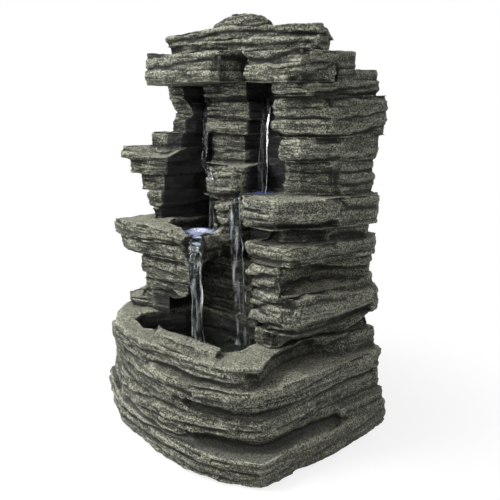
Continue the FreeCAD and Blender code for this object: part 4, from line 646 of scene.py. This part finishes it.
def settle(name, mesh, free):
    """Shapes the stones as the photo shows them, before they weather. Places and shifts are in mm."""
    # These are views of the points, so each shift is seen by the next.
    x, y, z = mesh.points.T
    if name == "basin_casting":
        flare, bulge, sag, dip = 2.6, 4.5, 1.3, 1.6
        _, outward, wall = walls(mesh, free)
        skirt = np.clip(mesh.smoothed(wall, 4) * 1.6, 0, 1)
        mesh.points += outward * (flare * skirt * step(z, 24, 16))[:, None]
        bank = step(z, 20.5, 23.5) * step(z, 42, 30) * step(x, -92, -72) * step(x, 45, 20) * step(y, -30, -45)
        outer = outward[:, 0] * x + outward[:, 1] * y > 0
        mesh.points += outward * (bulge * skirt * bank * outer)[:, None]
        mesh.points[:, 2] -= sag * skirt * step(z, 14, 2)
        mesh.points[:, 2] -= dip * step(z, 78.6, 80) * step(y, -54, -66)
    if name == "left_ledge_casting":
        fall, lift, jut, retreat = 9, 10, 9, 14
        rise = np.interp(x, (-97, -80, -60, -38, -24, -14, -6, 4, 8, 11, 14, 17),
                         (0, 1, 2, 1, 0.5, -1, -4, -4, 1, 1, -3, -6))
        mesh.points[:, 2] += rise * step(z, 138, 150) * step(y, 12, -12) * free
        (from_x, from_y), (run_x, run_y), length = CHUTE
        along = ((x - from_x) * run_x + (y - from_y) * run_y) / (run_x**2 + run_y**2)
        across = ((x - from_x) * -run_y + (y - from_y) * run_x) / length + 1.5
        chute = np.clip(along, 0, 1.1) * (1 - step(np.abs(across), 3.5, 8.5)) * step(y, -18, -22)
        mesh.points[:, 2] -= fall * chute * step(z, 118, 127) * step(z, 146, 142) * free
        lip = lift * step(across, 4, 9) * step(along, 0.2, 0.6) * step(z, 146, 128)
        mesh.points[:, 2] += lip * (z > 122) * (y < -10)
        reach = jut * step(z, 95, 101) * step(z, 126, 120) * step(x, -48, -22) * step(x, -8, -13)
        mesh.points[:, 0] += (reach - retreat * step(z, 97, 91) * step(x, -62, -30)) * free
    if name == "left_wing_casting":
        drop = 7
        lean = np.interp(z, (216, 220, 228, 230, 233, 237, 244, 256), (0, 1.5, 2.5, 7.5, 8.5, 5.5, -2, -2))
        mesh.points[:, 0] += lean * step(y, 32, 17) * free
        slope = drop * step(x, -94, -72) * step(y, 4, -16)
        mesh.points[:, 2] -= slope * step(z, 197, 207) * step(z, 209.5, 208.5) * free
    if name == "right_column_casting":
        shoulder = 3
        crest = np.interp(y, (-27, -6, 18, 40, 63), (8, 8.5, 6, 3, 0))
        mesh.points[:, 2] += crest * step(z, 101, 109) * step(z, 118, 111) * step(x, 78, 84)
        corner = shoulder * step(x, 88, 76) * step(y, -14, -4)
        mesh.points[:, 2] += corner * step(z, 115, 117) * step(z, 123, 119)
    if name in TILTED:
        lift, heights, run = TILTED[name]
        mesh.points[:, 2] += lift * step(z, *heights) * step(x, *run)
    if name == "cap_slab":
        lift, drop, trim = 2.2, 8, 5
        corner = step(CAP_END[0] * x + CAP_END[1] * y, 62, 76) * step(y, 52, 44)
        mesh.points[:, 2] += step(z, 280, 293) * (lift * step(x, 20, -10) - drop * corner)
        mesh.points[:, 0] -= trim * corner
    if name == "cap_top_stone":
        drop = 6
        rise = np.interp(x, (-38, -28, -12, 0, 10, 20), (0, 1.5, 4.2, 4.0, 2.6, 1.4))
        end = step(CAP_END[0] * x + CAP_END[1] * y, 26, 34)
        mesh.points[:, 2] += step(z, 294, 299) * (rise - drop * end)


# Each casting: its mesh cell in mm, its seed, the levels its stones meet at, their undercut in mm,
# the rounds of softening, the roughness of its sides and the tilt of its beds along x and y.
ROCKS = {
    "basin_casting": (1.24, 11, (1, 20, 31, 44, 52, 63, 78, 84), 0.7, 0, 0.7, (0.02, 0.0)),
    "bowl_partition": (1.2, 24, (30, 78, 82), 1.0, 2, 0.8, (0.0, 0.0)),
    "back_wall_casting": (1.4, 12, (78, 108, 126, 160, 186, 219, 241, 256), 1.8, 3, 0.9, (0.0, 0.02)),
    "right_column_casting": (0.85, 13, (78, 93, 121, 138, 150, 160, 180, 203, 219, 247),
                             2.2, 2, 1.0, (-0.03, 0.03)),
    "left_wing_casting": (0.8, 14, (150, 160, 172, 186, 198, 208, 219, 229, 241, 256),
                          2.2, 3, 2.0, (0.05, 0.0)),
    "left_ledge_casting": (0.85, 15, (78, 93, 108, 126, 138, 151), 2.0, 5, 1.3, (0.04, -0.02)),
    "centre_pier_casting": (0.8, 16, (150, 172, 198, 208, 219, 229, 241, 256), 1.8, 4, 2.2, (0.0, 0.02)),
    "right_pool_casting": (0.9, 17, (160, 181), 1.6, 3, 1.0, (0.0, 0.0)),
    "right_tier_stone": (0.85, 18, (246, 255, 263), 1.8, 3, 1.2, (-0.04, 0.0)),
    "cap_left_block": (0.85, 19, (255, 277), 2.0, 3, 1.0, (0.02, 0.0)),
    "cap_right_block": (0.85, 20, (255, 277), 2.6, 4, 1.4, (0.03, 0.02)),
    "cap_rear_stone": (1.1, 21, (255, 262, 277), 2.0, 4, 1.4, (0.0, 0.03)),
    "cap_slab": (0.85, 22, (276, 285, 294), 1.8, 3, 1.4, (-0.03, 0.0)),
    "cap_top_stone": (0.8, 23, (293, 301), 1.2, 4, 1.4, (-0.05, 0.0)),
}


def weathered(mesh, voxel, wet):
    """Writes a carved mesh, with the numbers that the slate reads from it."""
    mesh.write()
    mesh.store("relief", relief_of(mesh, voxel))
    mesh.store("wet", wet)
    shade_smooth(mesh.data)


for name, (voxel, seed, levels, undercut, soft, rough, tilt) in ROCKS.items():
    blocks = SPOUT if name == "left_ledge_casting" else ()
    mesh = Mesh(remeshed(joined(frame["nodes"][name].data, blocks), voxel))
    free = looseness(mesh.points)
    start = mesh.points.copy()
    start_normals = mesh.normals()
    settle(name, mesh, free)
    carve(mesh, free, seed, levels, undercut, soft, rough, tilt)
    weathered(mesh, voxel, wet_and_shade_mask(name, start, start_normals))
    piece = link(f"{name}_rock", mesh.data, slate)
    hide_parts(name)

# The rear door carries the same beds on its outer face only, cut in so that its fit is kept.
DOOR_VOXEL = 0.8
DOOR_CUT = 1.8
mesh = Mesh(remeshed(frame["nodes"]["rear_door"].data.copy(), DOOR_VOXEL))
outer = step(mesh.normals()[:, 1], 0.5, 0.9)
height = mesh.points[:, 2] + 1.5 * noise(mesh.points, 40, DOOR_SEED)
relief = bed_relief(mesh.points, height, THICK_BEDS, DOOR_SEED + 1)
relief += 0.7 * bed_relief(mesh.points, height, THIN_BEDS, DOOR_SEED + 2)
mesh.points[:, 1] += outer * np.clip(0.7 * relief - 0.6, -DOOR_CUT, 0)
weathered(mesh, DOOR_VOXEL, np.zeros(mesh.count))
piece = link("rear_door_rock", mesh.data, slate, "door")
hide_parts("rear_door")

# The cell of a pool's mesh, how far its rings carry in mm, and how close they follow one another.
POOL_VOXEL = 1.0
RIPPLE_FADE = 11
RIPPLE_TURNS = 1.25
# A stream's rows of points in mm, the points in a row, the rounds that ease its route,
# and the radius in mm of the ring in the noise that its strands are read from.
STREAM_ROW = 1.2
STREAM_SIDES = 28
STREAM_ROUNDS = 14
STRAND_RING = 4
# The level direction in which the falling water is broad.
BROAD = (0.77, 0.64, 0)
WATER_IOR = 1.333
BROKEN_WATER_IOR = 1.16


def closed_mesh(name, rings):
    """A closed mesh over rings of points, each ring as long as the next, in mm."""
    sides = len(rings[0])
    points = np.concatenate(rings) * MM
    faces = []
    for row in range(len(rings) - 1):
        for side in range(sides):
            here = row * sides + side
            beside = row * sides + (side + 1) % sides
            faces.append((here, beside, beside + sides, here + sides))
    faces.append(tuple(range(sides))[::-1])
    faces.append(tuple(range((len(rings) - 1) * sides, len(rings) * sides)))
    data = bpy.data.meshes.new(name)
    data.from_pydata(points.tolist(), [], faces)
    data.validate()
    return data


def ripples(points, sources):
    """The height of rings that spread from where water falls in, with a light chop."""
    total = 0.14 * noise(points, (6, 6, 50), RIPPLE_SEED)
    total += 0.08 * noise(points, (2.5, 2.5, 50), RIPPLE_SEED + 1)
    for x, y, rise in sources:
        far = np.hypot(points[:, 0] - x, points[:, 1] - y)
        total += rise * np.exp(-far / RIPPLE_FADE) * np.cos(far * RIPPLE_TURNS)
    return total


def pool(name, outline, floor, level, sources, material):
    """Standing water in a hollow of the rock, with ripples on its surface."""
    flat = np.array(outline, float)
    rings = [np.column_stack((flat, np.full(len(flat), height))) for height in (floor, level)]
    mesh = Mesh(remeshed(closed_mesh(name, rings), POOL_VOXEL))
    surface = step(mesh.points[:, 2], level - 1.5, level - 0.6)
    mesh.points[:, 2] += surface * ripples(mesh.points, sources)
    mesh.write()
    shade_smooth(mesh.data)
    link(name, mesh.data, material)


def stream(name, route, widths, thickness, seed, material):
    """Falling water: a flattened rope along a route, with strands that wander down its length."""
    route = np.array(route, float)
    run = np.concatenate(([0], np.cumsum(np.linalg.norm(np.diff(route, axis=0), axis=1))))
    rows = int(run[-1] / STREAM_ROW)
    place = np.linspace(0, run[-1], rows)
    line = np.column_stack([np.interp(place, run, route[:, axis]) for axis in range(3)])
    for _ in range(STREAM_ROUNDS):
        line[1:-1] = (line[:-2] + 2 * line[1:-1] + line[2:]) / 4
    wide = np.interp(place / run[-1], np.linspace(0, 1, len(widths)), widths)
    aside = np.array(BROAD, float) / np.linalg.norm(BROAD)
    across = np.cross(aside, (0, 0, 1))
    turn = np.linspace(0, 2 * np.pi, STREAM_SIDES, endpoint=False)
    rings = []
    for row in range(rows):
        spot = np.column_stack((np.cos(turn) * STRAND_RING, np.sin(turn) * STRAND_RING,
                                np.full(STREAM_SIDES, place[row])))
        strand = 1 + 0.30 * noise(spot, (1.6, 1.6, 26), seed) + 0.18 * noise(spot, (2.2, 2.2, 7), seed + 1)
        drift = noise(np.array([[0.5, 0.5, place[row]]]), (9, 9, 16), seed + 2)[0]
        centre = line[row] + aside * 0.9 * drift
        ring = centre + np.outer(np.cos(turn) * strand * wide[row] / 2, aside)
        rings.append(ring + np.outer(np.sin(turn) * strand * thickness / 2, across))
    data = closed_mesh(name, rings)
    shade_smooth(data)
    link(name, data, material)


def water_material(name, glow, spot, reach):
    """Still water: clear, faintly green, with a painted glow round a light in its floor."""
    graph = new_material(name)
    chop = graph.noise(240, 3.0)
    colour = graph.mix(graph.ramp(chop, 0.3, 0.7), (0.62, 0.72, 0.70), (0.80, 0.88, 0.87))
    place = graph.add("ShaderNodeTexCoord").outputs["Object"]
    lamp_place = [value * MM for value in spot]
    # Painted glow: the water itself gives light near the lamp's place.
    far = graph.add("ShaderNodeVectorMath", {0: place, 1: lamp_place}, operation="DISTANCE")
    near = graph.ramp(far.outputs["Value"], reach * MM, 0.0)
    strength = graph.times(near, graph.ramp(chop, 0.3, 0.7, 0.5, 1.3))
    return graph.surface(Base_Color=colour, Roughness=0.03, IOR=WATER_IOR, Transmission_Weight=1.0,
                         Emission_Color=(*glow, 1), Emission_Strength=strength,
                         Normal=graph.bump(chop, 0.0003, 0.5))


def stream_material(name, milk, start):
    """Falling water: clear between milky streaks that run down it."""
    graph = new_material(name)
    streak = graph.noise(420, 4.0, (1, 1, 0.07), 0.6)
    beads = graph.noise(330, 3.0, (1, 1, 0.35))
    white = graph.ramp(graph.plus(streak, graph.times(beads, 0.35)), start, start + 0.3)
    colour = graph.mix(white, (0.88, 0.92, 0.93), (0.60, 0.62, 0.65))
    clear = graph.ramp(white, 0.0, 1.0, 1.0, milk)
    rough = graph.ramp(white, 0.0, 1.0, 0.03, 0.22)
    return graph.surface(Base_Color=colour, Roughness=rough, IOR=BROKEN_WATER_IOR,
                         Transmission_Weight=clear, Normal=graph.bump(streak, 0.0006, 0.6))


falling = stream_material("falling_water", 0.48, 0.635)
clear_fall = stream_material("clear_water", 0.85, 0.66)
# No light stands in the basin, so its glow lies out of reach.
basin_water = water_material("basin_water", (0.5, 0.6, 0.7), (0, 0, 400), 1.0)
left_water = water_material("left_pool_water", (0.11, 0.12, 0.22), (-18, -9, 144), 20.0)
right_water = water_material("right_pool_water", (0.05, 0.07, 0.22), (30, 12, 176), 18.0)

pool("basin_water",
     ((-60, -41), (-51, -54.5), (-26, -60.5), (-9, -53.5), (22, -49.5), (41, -50.5), (53, -44),
      (56, -33), (53, -10), (52, 10), (-44, 10), (-44, -8), (-56, -24)),
     29.5, 65.0, ((4, -32, 0.8), (25, -5, 0.8)), basin_water)
pool("left_pool_water",
     ((-50, -21.5), (-14, -29), (5, -20.5), (-2.5, -12), (-2.5, 7.5), (-22.5, 9.5), (-24.5, 29.5),
      (-57.5, 29.5), (-57.5, -11)),
     137.4, 145.5, ((-11, -7, 0.7),), left_water)
pool("right_pool_water",
     ((19.5, 5), (25, -3.5), (42.5, -5.5), (42.5, 29.5), (19.5, 29.5)),
     170.4, 177.5, ((24.5, 13, 0.7),), right_water)

stream("left_stream",
       ((-6, -21.5, 144.5), (-4, -24, 143), (0, -28.5, 138.5), (4, -32, 132.5), (6, -33.5, 125),
        (6.2, -33.5, 100), (6, -32, 64)),
       (11, 13, 10, 8, 7.5, 7.5, 8), 2.4, 960, falling)
stream("right_stream",
       ((27, 4, 176.6), (22, -4, 176.4), (18, -7.5, 172), (18, -8, 160), (23, -8, 110), (25, -5, 64)),
       (7, 9, 8, 9, 9, 10), 2.6, 965, falling)
stream("upper_right_stream",
       ((22, 36, 247), (22, 30, 247), (22, 22, 243), (23, 18, 230), (25, 14.5, 208), (24.5, 13, 176.5)),
       (7, 7, 5, 5, 7, 6), 1.8, 970, clear_fall)
stream("pier_trickle",
       ((-50, 36, 247), (-50, 30, 247), (-43, 18, 240), (-38, 11, 222), (-36, 8, 202), (-33, 3, 197),
        (-22, -2, 196), (-15, -2, 188), (-12, -4, 176), (-11, -6, 160), (-11, -7, 144.5)),
       (7, 6, 4, 3, 3, 4, 4, 3, 2.5, 3, 4), 1.2, 975, clear_fall)

# The foam on the left pool, in mm, and its rings from the underside over the edge to the crown,
# as shares of its radii and heights above its level.
FOAM_CENTRE = (-18, -10)
FOAM_RADII = (15, 12)
FOAM_LEVEL = 145.2
FOAM_SIDES = 48
FOAM_RINGS = ((0.15, -1.0), (0.6, -1.0), (1.0, -0.8), (1.0, 0.0), (0.85, 0.7), (0.7, 1.3), (0.55, 1.8),
              (0.4, 2.2), (0.28, 2.4), (0.16, 2.5), (0.06, 2.6))
FOAM_SCALE = 620.0


def foam_material():
    """Broken water lit from below, as painted light: lilac-white webs that glow and fade into the pool."""
    graph = new_material("lit_foam")
    cells = graph.add("ShaderNodeTexVoronoi", {"Vector": graph.place((1, 1, 0.3)), "Scale": FOAM_SCALE},
                      feature="DISTANCE_TO_EDGE")
    web = graph.ramp(cells.outputs["Distance"], 0.22, 0.02)
    web = graph.times(web, graph.ramp(graph.noise(300, 3.0), 0.35, 0.6))
    middle = graph.ramp(graph.field("middle"), 0.0, 0.9)
    shown = graph.times(web, middle)
    # Painted light: the webs and the middle of the foam give off light.
    strength = graph.times(graph.plus(shown, graph.times(middle, 0.16)), 0.55)
    clear = graph.ramp(shown, 0.0, 0.7, 1.0, 0.2)
    return graph.surface(Base_Color=(0.86, 0.88, 0.97), Roughness=0.08, IOR=WATER_IOR,
                         Transmission_Weight=clear, Emission_Color=(0.78, 0.77, 1.0, 1),
                         Emission_Strength=strength)


turn = np.linspace(0, 2 * np.pi, FOAM_SIDES, endpoint=False)
rings = []
for size, height in FOAM_RINGS:
    spot = np.column_stack((np.cos(turn) * size * FOAM_RADII[0], np.sin(turn) * size * FOAM_RADII[1],
                            np.full(FOAM_SIDES, FOAM_LEVEL + height)))
    spot[:, :2] *= 1 + 0.18 * noise(spot, (5, 5, 90), FOAM_SEED)[:, None]
    spot[:, 2] += (height > 0) * 0.5 * noise(spot, (2.4, 2.4, 90), FOAM_SEED + 1)
    rings.append(spot + np.array((*FOAM_CENTRE, 0)))
data = closed_mesh("left_pool_foam", rings)
shade_smooth(data)
mesh = Mesh(data)
away = (mesh.points[:, :2] - np.array(FOAM_CENTRE)) / np.array(FOAM_RADII)
mesh.store("middle", 1 - np.hypot(away[:, 0], away[:, 1]))
link("left_pool_foam", data, foam_material())


def finish(name, dark, light, scale, rough, bump=0.0002, stretch=(1, 1, 1), **constants):
    """A moulded, ground or drawn surface: fine mottling, with wear in its gloss and a light texture."""
    graph = new_material(name)
    mottle = graph.noise(scale, 4.0, stretch)
    fine = graph.noise(scale * 4, 3.0, stretch)
    both = graph.plus(graph.times(mottle, 0.6), graph.times(fine, 0.4))
    colour = graph.mix(graph.ramp(both, 0.35, 0.65), dark, light)
    gloss = graph.ramp(mottle, 0.3, 0.7, rough[0], rough[1])
    return graph.surface(Base_Color=colour, Roughness=gloss, Normal=graph.bump(both, bump, 0.6), **constants)


# Each slot's finish: dark and light colour, scale of the mottling, range of roughness, and what else it has.
FINISHES = {
    "light_cup": ((0.030, 0.030, 0.031), (0.060, 0.060, 0.062), 300, (0.35, 0.5), {}),
    "light_board": ((0.60, 0.61, 0.58), (0.76, 0.77, 0.75), 420, (0.4, 0.55), {}),
    "seal_rubber": ((0.018, 0.018, 0.018), (0.042, 0.041, 0.040), 380, (0.7, 0.9), {}),
    "lens": ((0.78, 0.86, 0.95), (0.9, 0.95, 1.0), 500, (0.35, 0.5), {
        "IOR": 1.49, "Transmission_Weight": 0.6,
        "Emission_Color": (0.74, 0.78, 1.0, 1), "Emission_Strength": 0.3}),
    "lead_jacket": ((0.025, 0.025, 0.025), (0.055, 0.055, 0.054), 350, (0.5, 0.7), {}),
    "pump_plastic": ((0.020, 0.020, 0.022), (0.048, 0.048, 0.052), 520, (0.38, 0.55), {}),
    "core_steel": ((0.22, 0.22, 0.23), (0.40, 0.40, 0.41), 260, (0.3, 0.5), {
        "stretch": (14, 1, 1), "Metallic": 1.0}),
    "copper": ((0.36, 0.13, 0.05), (0.62, 0.28, 0.13), 240, (0.25, 0.4), {
        "bump": 0.0006, "stretch": (12, 1, 1), "Metallic": 1.0}),
    "shaft_ceramic": ((0.70, 0.69, 0.65), (0.86, 0.85, 0.82), 600, (0.15, 0.3), {"stretch": (6, 1, 1)}),
    "magnet": ((0.050, 0.050, 0.056), (0.11, 0.11, 0.12), 480, (0.45, 0.65), {}),
    "impeller_plastic": ((0.66, 0.66, 0.63), (0.82, 0.82, 0.80), 420, (0.35, 0.5), {}),
    "strainer_plastic": ((0.030, 0.036, 0.042), (0.070, 0.080, 0.090), 460, (0.4, 0.6), {}),
    "dial_plastic": ((0.050, 0.130, 0.270), (0.110, 0.230, 0.420), 460, (0.35, 0.5), {}),
    "hose": ((0.68, 0.74, 0.72), (0.84, 0.88, 0.86), 180, (0.2, 0.35), {
        "IOR": 1.45, "Transmission_Weight": 0.7}),
}
finishes = {slot: finish(slot, *row, **more) for slot, (*row, more) in FINISHES.items()}
for row in frame["record"]["subparts"]:
    if row["material_slot"] in finishes:
        node = frame["nodes"][row["node"]]
        if not node.material_slots:
            node.data.materials.append(None)
        for slot in node.material_slots:
            slot.material = finishes[row["material_slot"]]

# The stage: a pale floor, soft lights and the camera, in metres.
AMBIENT = 0.2
FLOOR_PAINT = (0.9, 0.9, 0.9, 1)
FLOOR_REACH = 4


def seen_rays(graph):
    """1 for the rays that show a surface to the eye, 0 for those that only carry light."""
    ray = graph.add("ShaderNodeLightPath").outputs
    seen = graph.math("MAXIMUM", ray["Is Camera Ray"], ray["Is Glossy Ray"])
    return graph.math("MAXIMUM", seen, ray["Is Transmission Ray"])


graph = Graph(bpy.data.worlds.new("studio"), "ShaderNodeOutputWorld")
bpy.context.scene.world = graph.owner
strength = graph.ramp(seen_rays(graph), 0.0, 1.0, AMBIENT, 1.0)
graph.show(graph.add("ShaderNodeBackground", {"Color": WHITE, "Strength": strength}))

graph = new_material("pale_floor")
paint = graph.add("ShaderNodeBsdfDiffuse", {"Color": FLOOR_PAINT})
lit = graph.add("ShaderNodeEmission", {"Color": WHITE, "Strength": 1.0})
far = graph.add("ShaderNodeVectorMath", {0: graph.place()}, operation="LENGTH").outputs["Value"]
share = graph.times(seen_rays(graph), graph.ramp(far, 0.1, 0.3, 0.8, 1.0))
graph.show(graph.add("ShaderNodeMixShader", {0: share, 1: paint.outputs[0], 2: lit.outputs[0]}))
sheet = bpy.data.meshes.new("floor")
corners = [(side * FLOOR_REACH, end * FLOOR_REACH, 0) for side, end in ((-1, -1), (1, -1), (1, 1), (-1, 1))]
sheet.from_pydata(corners, [], [(0, 1, 2, 3)])
floor = bpy.data.objects.new("floor", sheet)
bpy.context.scene.collection.objects.link(floor)
sheet.materials.append(graph.owner)


def lamp(name, place, size, power, aim=(0, 0, 0.14)):
    """A soft square light that looks at the aim."""
    light = bpy.data.lights.new(name, "AREA")
    light.size = size
    light.energy = power
    holder = bpy.data.objects.new(name, light)
    holder.location = place
    holder.rotation_euler = (Vector(aim) - Vector(place)).to_track_quat("-Z", "Y").to_euler()
    bpy.context.scene.collection.objects.link(holder)


lamp("key", (-0.40, -0.62, 1.05), 0.45, 14)
lamp("front", (-0.45, -1.3, 0.9), 0.8, 12, (0, 0, 0.25))
lamp("fill", (1.0, -0.35, 1.3), 1.0, 6)
lamp("back", (0.2, 1.2, 1.0), 0.9, 5)

# The camera that was fitted to the photo.
EYE = (0.3642, -0.3037, 0.2400)
AIM = (-0.725, 0.653, -0.221)
NEAREST = 0.01
FOCAL_PIXELS = 640
PHOTO_PIXELS = 500
SENSOR_MM = 36
view = bpy.data.cameras.new("photo_view")
view.sensor_width = SENSOR_MM
view.lens = view.sensor_width * FOCAL_PIXELS / PHOTO_PIXELS
view.clip_start = NEAREST
camera = bpy.data.objects.new("photo_view", view)
camera.location = EYE
camera.rotation_euler = Vector(AIM).to_track_quat("-Z", "Y").to_euler()
bpy.context.scene.collection.objects.link(camera)
bpy.context.scene.camera = camera
bpy.context.scene.view_settings.view_transform = "Standard"
